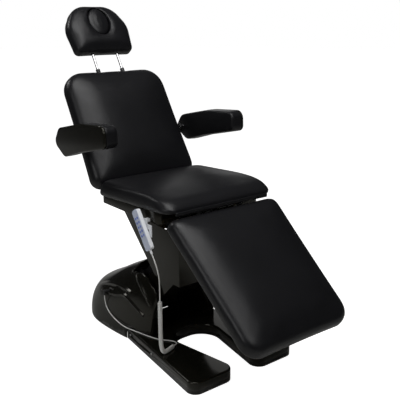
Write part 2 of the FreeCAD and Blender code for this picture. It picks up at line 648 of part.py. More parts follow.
def actuator(label, x, eye_y, z, end_y, way, motor_x, motor_z):
    reach = f"({end_y} - ({eye_y}))" if way > 0 else f"({eye_y} - ({end_y}))"
    parts, cuts = [], []
    y, length = span(eye_y, way, "-pin_radius * 2.6", "tube")
    parts.append(box(f"{x} - eye_half", y, f"{z} - pin_radius * 2.5", "2 * eye_half", length, "pin_radius * 5"))
    y, length = span(eye_y, way, "0.75 * tube", "0.75 * tube + gear_length")
    parts.append(box(f"{x} - tube_radius", y, f"{z} - tube_radius", "2 * tube_radius", length, "2 * tube_radius"))
    parts.append(box(f"{x} + ({motor_x}) - motor_radius", y, f"{z} + ({motor_z}) - motor_radius",
                     "2 * motor_radius", length, "2 * motor_radius"))
    y, length = span(eye_y, way, "0.75 * tube + gear_length / 2", reach)
    parts.append(bar(x, y, z, "tube_radius - wall / 4", length))
    y, length = span(eye_y, way, "0.75 * tube + gear_length / 2", "0.75 * tube + gear_length + motor_length")
    parts.append(bar(f"{x} + ({motor_x})", y, f"{z} + ({motor_z})", "motor_radius - wall / 4", length))
    y, length = span(eye_y, way, "0.75 * tube + gear_length", f"{reach} + overrun")
    cuts.append(bar(x, y, z, "rod_radius + run_gap", length))
    cuts.append(rod(f"{x} - eye_half - overrun", eye_y, z, "pin_radius + run_gap", "2 * (eye_half + overrun)"))
    return piece(label, trimmed(label, joined(label + "_body", *parts), *cuts))


def actuator_rod(label, x, pin_y, z, slot_z, rise, way, inner_end):
    """The rod from its slotted end to its inner end; way is +1 where it runs rearwards."""
    head = box(f"{x} - eye_half", f"{pin_y} - pin_radius * 2.6", f"{slot_z} - {rise} / 2 - pin_radius * 2.2",
               "2 * eye_half", "pin_radius * 5.2", f"{rise} + pin_radius * 4.4")
    start = f"{pin_y} + pin_radius * 2" if way > 0 else inner_end
    length = f"{inner_end} - ({pin_y}) - pin_radius * 2" if way > 0 else f"{pin_y} - pin_radius * 2 - ({inner_end})"
    shank = bar(x, start, z, "rod_radius", length)
    slot = box(f"{x} - eye_half - overrun", f"{pin_y} - pin_radius - slot_play",
               f"{slot_z} - {rise} / 2 - pin_radius - slot_play", "2 * (eye_half + overrun)",
               "2 * (pin_radius + slot_play)", f"{rise} + 2 * (pin_radius + slot_play)")
    return piece(label, trimmed(label, joined(label + "_body", head, shank), slot))


def crank(frame, x, throw, root, front=(), rear=()):
    """Two cheeks hanging from a pivot, with the pin across their ends; front and rear bend them."""
    parts = []
    for start in (f"{x} - cheek_gap - cheek_t", f"{x} + cheek_gap"):
        parts.append(prism([(f"-{root}", "0"), *front, ("-2.6 * pin_radius", f"-{throw}"),
                            ("-1.3 * pin_radius", f"-{throw} - 2.4 * pin_radius"),
                            ("1.3 * pin_radius", f"-{throw} - 2.4 * pin_radius"),
                            ("2.6 * pin_radius", f"-{throw}"), *rear, (root, "0")], start, "cheek_t", frame))
    parts.append(rod(f"{x} - cheek_gap - cheek_t / 2", "0", f"-{throw}", "pin_radius", "2 * cheek_gap + cheek_t", frame))
    return parts


# Lift actuator: its rear eye sits between the base frame's lugs, its tube points forward
actuator("lift_actuator_housing", "0", "lift_rear_y", CRANK_Z, "lift_tube_front_y", -1,
         "motor_radius + tube_radius", "0")
LIFT_RISE = "(crank_throw * (1 - cos(lift_swing)))"
actuator_rod("lift_actuator_rod", "0", "pivot_y", CRANK_Z, f"({CRANK_Z} + {LIFT_RISE} / 2)", LIFT_RISE, 1,
             "(lift_tube_front_y + 2.6 * tube)")
pins = [rod("-(tower_half + plate_t * 1.5)", "pivot_y", z, "shaft_radius", "2 * tower_half + plate_t * 3")
        for z in ("pivot_z", "pivot_z + pivot_rise")]
pins.append(rod("-(cheek_gap + cheek_t + pin_radius)", "lift_rear_y", CRANK_Z, "pin_radius",
                "2 * (cheek_gap + cheek_t + pin_radius)"))
piece("base_pivot_shafts", joined("base_pivot_shafts", *pins))

# Lifting arms: each has two barrels on its shafts, two side bars and a cross bar. The lower
# arm also has the crank that the lift actuator pushes, and it carries the arm cover.
ARM_HALF = "(tower_half - seat_gap)"


def lifting_arm(frame, bar_out, cross_half):
    parts = []
    for y in ("0", "-arm_length"):
        parts.append(rod(f"-{ARM_HALF}", y, "0", "barrel_radius", f"2 * {ARM_HALF}", frame))
    for x in (f"-({bar_out})", f"({bar_out}) - bar_width"):
        parts.append(box(x, "-arm_length", "-bar_depth / 2", "bar_width", "arm_length", "bar_depth", frame))
    parts.append(box(f"-({cross_half})", "-(arm_length + tube) / 2", "-bar_depth / 2", f"2 * ({cross_half})",
                     "tube", "bar_depth", frame))
    return parts


def arm_bores(frame):
    return [rod(f"-{ARM_HALF} - overrun", y, "0", "shaft_radius + run_gap", f"2 * ({ARM_HALF} + overrun)", frame)
            for y in ("0", "-arm_length")]


lower = lifting_arm(ARM, f"{ARM_HALF} - wall", "arm_cover_half - wall - seat_gap")
lower += crank(spot("0", "pivot_y", "pivot_z"), "0", "crank_throw", "barrel_radius")
piece("lower_lift_arm", trimmed("lower_lift_arm", joined("lower_arm", *lower), *arm_bores(ARM)))
upper = lifting_arm(HIGH_ARM, f"{ARM_HALF} - bar_width - wall", f"{ARM_HALF} - bar_width - wall")
piece("upper_lift_arm", trimmed("upper_lift_arm", joined("upper_arm", *upper), *arm_bores(HIGH_ARM)))

# Arm cover: a channel that hides the arms from the front, fixed to the lower arm's cross bar
channel = box("-arm_cover_half", "-arm_cover_high", "-arm_cover_drop", "2 * arm_cover_half",
              "arm_cover_high - arm_cover_low", "arm_cover_drop + bar_depth / 2", ARM)
hollow = box("-(arm_cover_half - wall)", "-arm_cover_high - overrun", "-(arm_cover_drop - wall)",
             "2 * (arm_cover_half - wall)", "arm_cover_high - arm_cover_low + 2 * overrun",
             "arm_cover_drop + bar_depth", ARM)
piece("arm_cover", trimmed("arm_cover", channel, hollow))

# Seat frame: rails and cross tubes on the seat's slope, brackets down to the lifting arms,
# ears for the back and leg hinges, and hangers for the two actuators
LOW = "-(tube + seat_gap)"
BACK_CRANK_Z = f"({BACK_Z} - back_crank * (1 + cos(back_swing)) / 2)"
LEG_CRANK_Z = "(leg_hinge_z - leg_crank * (1 + cos(leg_swing)) / 2)"
parts = []
for x in ("-(rail_in_x + tube)", "rail_in_x"):
    parts.append(tube_box(x, "3 * tube", LOW, "tube", f"{BACK_Y} - seat_front_y - 5 * tube", "tube", "y", SEAT))
for y in ("3 * tube", "hanger_y - seat_front_y - tube / 2", f"{BACK_Y} - seat_front_y - 3 * tube"):
    parts.append(tube_box("-(tray_half - tray_lip)", y, LOW, "2 * (tray_half - tray_lip)", "tube", "tube",
                          "x", SEAT))
for start in ("-(tower_half + plate_t)", "tower_half"):
    parts.append(prism(
        [(f"{HEAD_Y} - 1.5 * barrel_radius", f"{HEAD_Z} - 1.4 * barrel_radius"),
         (f"{HEAD_Y} + 1.5 * barrel_radius", f"{HEAD_Z} - 1.4 * barrel_radius"),
         (f"{HEAD_Y} + 3.5 * barrel_radius", "tray_low_z + tube"),
         (f"{HEAD_Y} - 3.5 * barrel_radius", "tray_low_z + tube")],
        start, "plate_t",
        circles=[(HEAD_Y, HEAD_Z, "shaft_radius + run_gap"),
                 (HEAD_Y, f"{HEAD_Z} + pivot_rise", "shaft_radius + run_gap")]))
for start in ("-(neck_half - wall - seat_gap)", "tower_half + plate_t / 2"):
    parts.append(box(start, f"{HEAD_Y} - tube / 2", f"{HEAD_Z} + pivot_rise / 2 - tube / 3",
                     "neck_half - wall - seat_gap - tower_half - plate_t / 2", "tube", "2 * tube / 3"))
for x, z in (("rod_x", BACK_CRANK_Z), ("-rod_x", LEG_CRANK_Z)):
    for start in (f"{x} - cheek_gap - cheek_t", f"{x} + cheek_gap"):
        parts.append(prism(
            [("hanger_y - 2.5 * pin_radius", f"{z} - 2.5 * pin_radius"),
             ("hanger_y + 2.5 * pin_radius", f"{z} - 2.5 * pin_radius"),
             ("hanger_y + 2.5 * pin_radius", "tray_low_z + 0.8 * tube"),
             ("hanger_y - 2.5 * pin_radius", "tray_low_z + 0.8 * tube")],
            start, "cheek_t", circles=[("hanger_y", z, "pin_radius + run_gap")]))
ear_cuts = []
for side in (-1, 1):
    inner = "back_lug_x + plate_t + tube / 4"
    start = f"-({inner} + plate_t)" if side < 0 else inner
    parts.append(rod(start, BACK_Y, BACK_Z, "back_barrel", "plate_t"))
    parts.append(prism([(BACK_Y, f"{BACK_Z} + back_barrel"), (f"{BACK_Y} - back_barrel", f"{BACK_Z} + 4"),
                        (f"{BACK_Y} - tube", f"{BACK_Z} - 1.5 * back_barrel"),
                        (f"{BACK_Y} - 3 * tube", f"{BACK_Z} - 1.5 * back_barrel"),
                        (f"{BACK_Y} - 3 * tube", f"{BACK_Z} - 3 * back_barrel"),
                        (f"{BACK_Y} - tube / 2", f"{BACK_Z} - 2.4 * back_barrel"),
                        (f"{BACK_Y} + back_barrel * 0.9", f"{BACK_Z} - back_barrel * 0.4")], start, "plate_t"))
    start = f"-(leg_lug_x + 2 * plate_t + wall)" if side < 0 else "leg_lug_x + plate_t + wall"
    parts.append(rod(start, "leg_hinge_y", "leg_hinge_z", "leg_barrel", "plate_t"))
    parts.append(prism([("leg_hinge_y", "leg_hinge_z + leg_barrel"),
                        ("leg_hinge_y", "leg_hinge_z - leg_barrel"),
                        ("leg_hinge_y + tube", "leg_hinge_z - 2 * leg_barrel"),
                        ("leg_hinge_y + 3.6 * tube", "leg_hinge_z - 3 * leg_barrel"),
                        ("leg_hinge_y + 3.6 * tube", "leg_hinge_z + leg_barrel / 8")], start, "plate_t"))
ear_cuts = [rod("-tray_half", BACK_Y, BACK_Z, "back_shaft + run_gap", "2 * tray_half"),
            rod("-tray_half", "leg_hinge_y", "leg_hinge_z", "hinge_pin + run_gap", "2 * tray_half")]
piece("seat_frame", trimmed("seat_frame", joined("seat_frame_tubes", *parts), *ear_cuts))
shafts = [rod("-(tower_half + plate_t * 1.5)", HEAD_Y, z, "shaft_radius", "2 * tower_half + plate_t * 3")
          for z in (HEAD_Z, f"{HEAD_Z} + pivot_rise")]
piece("upper_pivot_shafts", joined("upper_pivot_shafts", *shafts))
SHAFT_END = "(back_lug_x + 3 * plate_t)"
piece("back_hinge_shaft", rod(f"-{SHAFT_END}", BACK_Y, BACK_Z, "back_shaft", f"2 * {SHAFT_END}"))
PIN_END = "(leg_lug_x + 3 * plate_t)"
piece("leg_hinge_shaft", rod(f"-{PIN_END}", "leg_hinge_y", "leg_hinge_z", "hinge_pin", f"2 * {PIN_END}"))
actuator("back_actuator_housing", "rod_x", "hanger_y", BACK_CRANK_Z, "back_tube_end", 1, "0",
         "motor_radius + tube_radius")
actuator("leg_actuator_housing", "-rod_x", "hanger_y", LEG_CRANK_Z, "leg_tube_end", -1, "0",
         "motor_radius + tube_radius")
pins = [rod(f"{x} - cheek_gap - cheek_t - pin_radius / 2", "hanger_y", z, "pin_radius",
            "2 * (cheek_gap + cheek_t) + pin_radius")
        for x, z in (("rod_x", BACK_CRANK_Z), ("-rod_x", LEG_CRANK_Z))]
piece("actuator_pins", joined("actuator_pins", *pins))
actuator_rod("back_actuator_rod", "rod_x", f"({BACK_Y} + back_crank * sin(back_crank_turn))", BACK_CRANK_Z,
             BACK_CRANK_Z, "(back_crank * (1 - cos(back_swing)))", -1, "(back_tube_end - 1.35 * tube)")
actuator_rod("leg_actuator_rod", "-rod_x", "(leg_hinge_y + leg_crank * sin(leg_crank_turn))", LEG_CRANK_Z,
             LEG_CRANK_Z, "(leg_crank * (1 - cos(leg_swing)))", 1, "(leg_tube_end + 3.4 * tube)")

# Neck cover: front wall and two side walls with a slanting rear edge, and a short rear wall
NECK_TOP_Y = "(neck_low_y + neck_rear_z - neck_low_z)"
neck = prism([("neck_front_y", "neck_low_z"), ("neck_low_y", "neck_low_z"), (NECK_TOP_Y, "neck_rear_z"),
              ("neck_front_y", "neck_front_z")], "-neck_half", "2 * neck_half")
neck_core = prism(
    [("neck_front_y + wall", "neck_low_z - overrun"), ("neck_low_y - overrun - 1.5 * wall", "neck_low_z - overrun"),
     (f"{NECK_TOP_Y} + overrun - 1.5 * wall", "neck_rear_z + overrun"),
     ("neck_front_y + wall", "neck_rear_z + overrun")], "-(neck_half - wall)", "2 * (neck_half - wall)")
neck_gate = box("-(neck_half - wall)", "neck_low_y - 10 * overrun", "neck_low_z - overrun", "2 * (neck_half - wall)",
                "neck_rear_z - neck_low_z + 20 * overrun", "neck_back_low - neck_low_z + overrun")
neck_sill = box("-(neck_half - wall)", "neck_low_y", "neck_back_high", "2 * (neck_half - wall)",
                "neck_rear_z - neck_low_z + 2 * overrun", "neck_rear_z - neck_back_high + overrun")
piece("neck_cover", trimmed("neck_cover", neck, neck_core, neck_gate, neck_sill))


# Seat tray: a rounded open tray under the seat, with an opening for the back's hinge
def standing(edge):
    return edge.BoundBox.XLength < 0.01 and edge.BoundBox.YLength < 0.01


def tray_block(inset, low, radius):
    corners = [(f"-(tray_half - {inset})", f"tray_front_y + {inset}"), (f"tray_half - {inset}", f"tray_front_y + {inset}"),
               (f"tray_half - {inset}", f"tray_rear_y - {inset}"), (f"-(tray_half - {inset})", f"tray_rear_y - {inset}")]
    return softened(prism(corners, low, "4 * tube", role="XY_Plane"), radius, standing)


tray_top = box("-2 * tray_half", "-overrun", "-seat_gap", "4 * tray_half", f"2 * {SEAT_LONG}", "6 * tube", SEAT)
tray_gate = box("-tray_gate_half", "tray_rear_y - 2 * tray_lip", "tray_low_z - overrun", "2 * tray_gate_half",
                "2 * tray_lip + overrun", "4 * tube")
ear_slots = [box(x, "tray_front_y - overrun", "leg_hinge_z - 3 * leg_barrel - seat_gap",
                 "plate_t + 2 * seat_gap", "wall + 2 * overrun", "6 * leg_barrel")
             for x in ("leg_lug_x + plate_t + wall - seat_gap", "-(leg_lug_x + 2 * plate_t + wall + seat_gap)")]
piece("seat_tray", trimmed("seat_tray", tray_block("0", "tray_low_z", "tray_corner"),
                           tray_block("wall", "tray_low_z + wall", "tray_corner - wall"),
                           tray_block("tray_lip", "tray_low_z - overrun", "wall"), tray_top, tray_gate, *ear_slots))


# Boards and cushions
def flat_board(label, half, low, high, start, thick, radius, frame):
    corners = [(f"-({half})", low), (half, low), (half, high), (f"-({half})", high)]
    return softened(prism(corners, start, thick, frame, "XY_Plane"), radius, standing)


# Depth from the face, and how far each outline is moved in, as shares of the thickness
PILLOW_SHARES = [(1.0, 0.3), (0.93, 0.14), (0.78, 0.03), (0.5, 0.0), (0.27, 0.04), (0.11, 0.18), (0.0, 0.45),
                 (-0.08, 0.9), (-0.13, 1.45)]
SIDE_BOW_SHARE = 0.004


def pillow_levels(thick):
    return [(depth * thick, inset * thick) for depth, inset in PILLOW_SHARES]


# Seat cushion: height, side inset, front edge and rear inset, as shares of the cushion's height
SEAT_SHARES = [(0.0, 0.12, 0.0, 0.1), (0.09, 0.03, 0.0, 0.03), (0.27, 0.0, 0.03, 0.0), (0.52, 0.01, 0.27, 0.0),
               (0.7, 0.05, 0.62, 0.04), (0.84, 0.14, 1.2, 0.13), (0.94, 0.36, 1.95, 0.3), (1.0, 0.85, 2.8, 0.75)]


def seat_cushion():
    wires = []
    for height, side, front, rear in SEAT_SHARES:
        half, low, high = (v.seat_half - side * v.seat_thick, front * v.seat_thick,
                           v.back_face_y - v.seat_front_y + v.seat_tuck - rear * v.seat_thick)
        corners = [(-half, low, v.seat_front_round), (half, low, v.seat_front_round),
                   (half, high, v.seat_rear_round), (-half, high, v.seat_rear_round)]
        wires.append(rounded_wire(corners, flat(height * v.seat_thick)))
    return Part.makeLoft(wires, True, True)


seat_board = flat_board("seat_board", "seat_half - 1.5 * rim", "1.5 * rim", f"{SEAT_LONG} - 1.5 * rim", "0", "board_t",
                        "seat_front_round", SEAT)
piece("seat_board", seat_board)
seat_pocket = flat_board("pocket", "seat_half - 1.5 * rim + seat_gap", "1.5 * rim - seat_gap",
                         f"{SEAT_LONG} - 1.5 * rim + seat_gap", "-overrun", "board_t + seat_gap + overrun",
                         "seat_front_round", SEAT)
piece("seat_cushion", trimmed("seat_cushion", shaped("seat_foam", seat_cushion(), SEAT), seat_pocket))
piece("front_strip", box("-(seat_half - seat_front_round)", "-wall", "-wall / 2", "2 * (seat_half - seat_front_round)",
                         "wall - seat_gap", "2.5 * wall", SEAT))

# Back section: frame of square tube, hinge lugs with a cross barrel and crank, plywood board,
# cushion, guides for the headrest's posts and bolts for the armrests
BACK_FLAT = BACK + " * " + spot("0", "0", "0", turn="90")
LEG_FLAT = LEG + " * " + spot("0", "0", "0", turn="180")
BACK_PIVOT = spot("0", BACK_Y, BACK_Z, turn="back_crank_turn")
LEG_PIVOT = spot("0", "leg_hinge_y", "leg_hinge_z", turn="leg_crank_turn")
BEHIND = "(back_thick + 2 * seat_gap)"
parts = []
for x in ("-(back_rail_x + tube / 2)", "back_rail_x - tube / 2"):
    parts.append(tube_box(x, BEHIND, "back_rail_low", "tube", "tube", "back_rail_high - back_rail_low", "z", BACK))
for s, half in (("back_rail_low + tube / 2", "back_rail_x"), ("arm_bolt_s - tube / 2", "bracket_x"),
                ("back_rail_high - tube", "back_rail_x")):
    parts.append(tube_box(f"-{half}", BEHIND, s, f"2 * {half}", "tube", "tube", "x", BACK))
for start in ("-(bracket_x + plate_t)", "bracket_x"):
    parts.append(box(start, "arm_bolt_depth", "arm_bolt_s - tube / 2", "plate_t",
                     f"{BEHIND} + tube - arm_bolt_depth", "tube", BACK))
    parts.append(rod(start, "arm_bolt_depth", "arm_bolt_s", "tube / 2", "plate_t", BACK))
for start in ("-(back_lug_x + plate_t)", "back_lug_x"):
    parts.append(prism(
        [("back_hinge_depth - back_barrel * 0.7", "-back_hinge_drop - back_barrel * 0.7"),
         ("back_thick * 0.86", "-back_hinge_drop - back_barrel"), (f"{BEHIND} + tube", "back_rail_low * 0.2"),
         (f"{BEHIND} + tube", "back_rail_low + tube"), (BEHIND, "back_rail_low + tube"), (BEHIND, "back_rail_low * 0.4"),
         ("back_thick * 0.75", "back_rail_low * 0.03"), ("back_hinge_depth", "back_hinge_drop * 0.2")],
        start, "plate_t", BACK))
parts.append(rod("-(back_lug_x + plate_t + tube / 4 - seat_gap)", BACK_Y, BACK_Z, "back_barrel",
                 "2 * (back_lug_x + plate_t + tube / 4 - seat_gap)"))
parts += crank(BACK_PIVOT, "rod_x", "back_crank", "back_barrel")
bore = rod("-tray_half", BACK_Y, BACK_Z, "back_shaft + run_gap", "2 * tray_half")
bolt_bores = rod("-armrest_out", "arm_bolt_depth", "arm_bolt_s", "arm_bolt_radius + run_gap", "2 * armrest_out", BACK)
piece("back_frame", trimmed("back_frame", joined("back_tubes", *parts), bore, bolt_bores))

BACK_BOARD = ("back_top_half - rim", "back_start + rim", "back_end - rim")
piece("back_board", flat_board("back_board", *BACK_BOARD, "-(back_thick + seat_gap)", "board_t", "board_round", BACK_FLAT))


def back_foam():
    corners = [(-v.back_low_half, v.back_start, v.back_low_round), (v.back_low_half, v.back_start, v.back_low_round),
               (v.back_top_half, v.back_end, v.back_top_round), (-v.back_top_half, v.back_end, v.back_top_round)]
    return pillow(corners, faced, pillow_levels(v.back_thick), SIDE_BOW_SHARE)


cuts = [flat_board("pocket", "back_top_half - rim + seat_gap", "back_start + rim - seat_gap",
                   "back_end - rim + seat_gap", "-(back_thick + overrun)", "board_t + overrun", "board_round", BACK_FLAT)]
GUIDE_BLOCK = ("-(post_half + 1.3 * guide_radius)", "post_depth + guide_radius * 0.7", "back_end - 6 * tube",
               "2 * (post_half + 1.3 * guide_radius)",
               "back_thick - board_t - post_depth - guide_radius * 0.7 - seat_gap", "3 * tube")
x, y, z, dx, dy, dz = GUIDE_BLOCK
cuts.append(box(f"{x} - seat_gap", f"{y} - seat_gap", f"{z} - seat_gap", f"{dx} + 2 * seat_gap",
                f"{dy} + seat_gap + board_t", f"{dz} + 2 * seat_gap", BACK))
guides, guide_bores = [box(*GUIDE_BLOCK, BACK)], []
for side in ("-", ""):
    x = f"{side}post_half"
    cuts.append(stem(x, "post_depth", "guide_low - seat_gap", "guide_radius + seat_gap", "back_end - guide_low + 3 * tube",
                     BACK))
    guides.append(stem(x, "post_depth", "guide_low", "guide_radius", "guide_high - guide_low", BACK))
    guide_bores.append(stem(x, "post_depth", "guide_low - overrun", "post_radius + run_gap",
                            "guide_high - guide_low + 2 * overrun", BACK))
piece("back_cushion", trimmed("back_cushion", shaped("back_foam", back_foam(), BACK), *cuts))
piece("headrest_guides", trimmed("headrest_guides", joined("guide_tubes", *guides), *guide_bores))
bolts = []
for side in (-1, 1):
    head_x = "bracket_x - wall - seat_gap" if side > 0 else "-bracket_x + seat_gap"
    bolts.append(rod(head_x, "arm_bolt_depth", "arm_bolt_s", "arm_bolt_radius * 1.5", "wall", BACK))
    shank_x = "bracket_x - seat_gap - wall / 2" if side > 0 else "-(armrest_out - shell_t - tube)"
    bolts.append(rod(shank_x, "arm_bolt_depth", "arm_bolt_s", "arm_bolt_radius",
                     "armrest_out - shell_t - tube - bracket_x + seat_gap + wall / 2", BACK))
piece("armrest_bolts", joined("armrest_bolts", *bolts))

# Headrest: cushion with an oval face hole and its plug, board, and two posts on a cross block
def head_outline():
    return [(-v.head_low_half, v.head_start, v.head_low_round), (v.head_low_half, v.head_start, v.head_low_round),
            (v.head_mid_half, v.head_mid, v.head_mid_round), (v.head_top_half, v.head_end, v.head_top_round),
            (-v.head_top_half, v.head_end, v.head_top_round), (-v.head_mid_half, v.head_mid, v.head_mid_round)]


def oval(depth, inset):
    middle = Vector(0, depth, v.plug_mid)
    ring = Part.Ellipse(Vector(0, depth, v.plug_mid + v.plug_half_s - inset),
                        Vector(v.plug_half_x - inset, depth, v.plug_mid), middle)
    return Part.Wire([ring.toShape()])


def oval_block(depth, length, inset):
    return Part.Face(oval(depth, inset)).extrude(Vector(0, length, 0))


def plug():
    shares = [(0.98, 0.06), (0.93, 0.0), (0.08, 0.0), (0.0, 0.06), (-0.06, 0.2), (-0.09, 0.42)]
    return Part.makeLoft([oval(depth * v.head_thick, inset * v.head_thick) for depth, inset in shares], True, True)


hole = shaped("face_hole", oval_block(-v.head_thick, 3 * v.head_thick, -v.hole_gap), BACK)
BLOCK = ("-(post_half + 2 * post_radius)", "post_depth - post_radius * 1.5", "head_start + 2 * post_radius",
         "2 * (post_half + 2 * post_radius)", "head_thick - board_t - post_depth + post_radius * 1.5 - seat_gap",
         "1.2 * tube")
x, y, z, dx, dy, dz = BLOCK
cuts = [hole, box(f"{x} - seat_gap", f"{y} - seat_gap", f"{z} - seat_gap", f"{dx} + 2 * seat_gap",
                  f"{dy} + seat_gap + board_t", f"{dz} + 2 * seat_gap", BACK)]
posts = [box(*BLOCK, BACK)]
for side in ("-", ""):
    posts.append(stem(f"{side}post_half", "post_depth", "post_low", "post_radius", "post_high - post_low", BACK))
    cuts.append(stem(f"{side}post_half", "post_depth", "post_low", "post_radius + seat_gap",
                     "post_high - post_low + seat_gap", BACK))
piece("headrest_posts", joined("headrest_posts", *posts))
HEAD_BOARD = [("head_low_half", "head_start", "-", "+"), ("head_mid_half", "head_mid", "-", ""),
              ("head_top_half", "head_end", "-", "-")]


def head_prism(inset, start, thick):
    right = [(f"head_low_half - {inset}", f"head_start + {inset}"), (f"head_mid_half - {inset}", "head_mid"),
             (f"head_top_half - {inset} / 2", f"head_end - {inset}")]
    corners = right + [(f"-({x})", s) for x, s in reversed(right)]
    return prism(corners, start, thick, BACK_FLAT, "XY_Plane")


head_board = head_prism("2.4 * rim", "-(head_thick + seat_gap)", "board_t")
piece("headrest_board", trimmed("headrest_board", head_board, hole))
cuts.append(head_prism("(2.4 * rim - seat_gap)", "-(head_thick + overrun)", "board_t + overrun"))
foam = pillow(head_outline(), faced, [(d, i * 0.75) for d, i in pillow_levels(v.head_thick)], SIDE_BOW_SHARE)
piece("headrest_cushion", trimmed("headrest_cushion", shaped("head_foam", foam, BACK), *cuts))
piece("headrest_plug", shaped("headrest_plug", plug(), BACK))

# Armrests: a padded inner part and a glossy outer shell, both cut to the same outline
ARM_SHARES = [(0.0, 0.2, 0.062), (0.012, 0.405, 0.083), (0.455, 0.372, 0.9), (0.893, 0.277, 0.093),
              (1.0, 0.118, 0.072), (0.793, 0.0, 0.083), (0.486, 0.091, 0.5)]
PAD_SHARES = [(0.0, 0.2), (0.1, 0.06), (0.28, 0.0), (1.0, 0.0)]
SHELL_SHARES = [(0.0, 0.02), (0.6, 0.02), (0.9, 0.2), (1.0, 0.55)]


def arm_stack(side, start, end, shares, scale):
    corners = [(v.arm_front_y + y * v.arm_span, v.arm_base_z + z * v.arm_span, r * v.arm_span)
               for y, z, r in ARM_SHARES]
    wires = []
    for share, inset in shares:
        x = side * (start + share * (end - start))
        wires.append(rounded_wire(inset_corners(corners, inset * scale), lambda y, z, x=x: Vector(x, y, z)))
    return Part.makeLoft(wires, True, True)


for name, side in (("left", 1), ("right", -1)):
    pad_end = v.armrest_out - v.shell_t
    pad = shaped(f"{name}_pad_foam", arm_stack(side, v.armrest_in, pad_end, PAD_SHARES, v.tube))
    x = "armrest_in - tube" if side > 0 else "-(armrest_out - shell_t - tube) - seat_gap"
    cut = rod(x, "arm_bolt_depth", "arm_bolt_s", "arm_bolt_radius + run_gap",
              "armrest_out - shell_t - armrest_in + seat_gap", BACK)
    piece(f"{name}_armrest_pad", trimmed(f"{name}_armrest_pad", pad, cut))
    shell = arm_stack(side, pad_end + v.seat_gap, v.armrest_out, SHELL_SHARES, v.shell_t)
    piece(f"{name}_armrest_shell", shaped(f"{name}_armrest_shell", shell))

# Leg section: frame of square tube with hinge lugs and a crank, plywood board and cushion
UNDER = "(leg_thick + 2 * seat_gap + tube)"
parts = []
for x in ("-(leg_rail_x + tube / 2)", "leg_rail_x - tube / 2"):
    parts.append(tube_box(x, "-(leg_end - 3 * tube)", f"-{UNDER}", "tube", "leg_end - 3 * tube - leg_start", "tube",
                          "y", LEG))
for y in ("leg_start + tube", "leg_end / 2", "leg_end - 4 * tube"):
    parts.append(tube_box("-leg_rail_x", f"-({y} + tube)", f"-{UNDER}", "2 * leg_rail_x", "tube", "tube", "x", LEG))
LEG_PIN_Y = "((leg_hinge_y - leg_face_y) * cos(leg_slope) + (leg_hinge_z - leg_face_z) * sin(leg_slope))"
LEG_PIN_Z = "((leg_hinge_z - leg_face_z) * cos(leg_slope) - (leg_hinge_y - leg_face_y) * sin(leg_slope))"
for start in ("-(leg_lug_x + plate_t)", "leg_lug_x"):
    parts.append(prism(
        [(f"{LEG_PIN_Y} + leg_barrel * 0.9", f"{LEG_PIN_Z} - leg_barrel / 4"),
         (f"{LEG_PIN_Y} + leg_barrel * 0.7", f"{LEG_PIN_Z} - 5 * leg_barrel"),
         ("-leg_start", f"-{UNDER}"), ("-(leg_start + 2 * tube)", f"-{UNDER}"),
         ("-(leg_start + 2 * tube)", f"-({UNDER} - tube)"), ("-leg_start", f"-({UNDER} - tube)"),
         ("-leg_start * 0.95", f"-leg_thick * 0.8"), ("-leg_start * 0.8", f"{LEG_PIN_Z} - leg_barrel")],
        start, "plate_t", LEG))
    outer = f"-(leg_rail_x - tube / 2 + overrun / 2)" if start.startswith("-") else "leg_lug_x"
    parts.append(box(outer, "-(leg_start + 2 * tube)", f"-{UNDER}", "leg_rail_x - tube / 2 + overrun / 2 - leg_lug_x",
                     "tube", "tube", LEG))
parts.append(rod("-(leg_lug_x + plate_t)", "leg_hinge_y", "leg_hinge_z", "leg_barrel", "2 * (leg_lug_x + plate_t)"))
parts += crank(LEG_PIVOT, "-rod_x", "leg_crank", "leg_barrel",
               [("leg_barrel / 2", "-leg_crank / 4"), ("leg_barrel / 2", "-0.4 * leg_crank"),
                ("-leg_barrel / 2", "-0.56 * leg_crank")], [("3 * leg_barrel", "-0.3 * leg_crank")])
bore = rod("-tray_half", "leg_hinge_y", "leg_hinge_z", "hinge_pin + run_gap", "2 * tray_half")
piece("leg_frame", trimmed("leg_frame", joined("leg_tubes", *parts), bore))
piece("leg_board", flat_board("leg_board", "leg_low_half - rim", "leg_start + 1.6 * rim", "leg_end - rim", "leg_thick - board_t + seat_gap",
                              "board_t", "leg_low_round - rim", LEG_FLAT))


def leg_foam():
    corners = [(-v.leg_half, v.leg_start, v.leg_top_round), (v.leg_half, v.leg_start, v.leg_top_round),
               (v.leg_low_half, v.leg_end, v.leg_low_round), (-v.leg_low_half, v.leg_end, v.leg_low_round)]
    levels = [(-depth, inset) for depth, inset in pillow_levels(v.leg_thick)]
    return pillow(corners, below, levels, SIDE_BOW_SHARE)


pocket = flat_board("pocket", "leg_low_half - rim + seat_gap", "leg_start + 1.6 * rim - seat_gap", "leg_end - rim + seat_gap",
                    "leg_thick - board_t", "board_t + overrun", "leg_low_round - rim", LEG_FLAT)
piece("leg_cushion", trimmed("leg_cushion", shaped("leg_foam", leg_foam(), LEG), pocket))

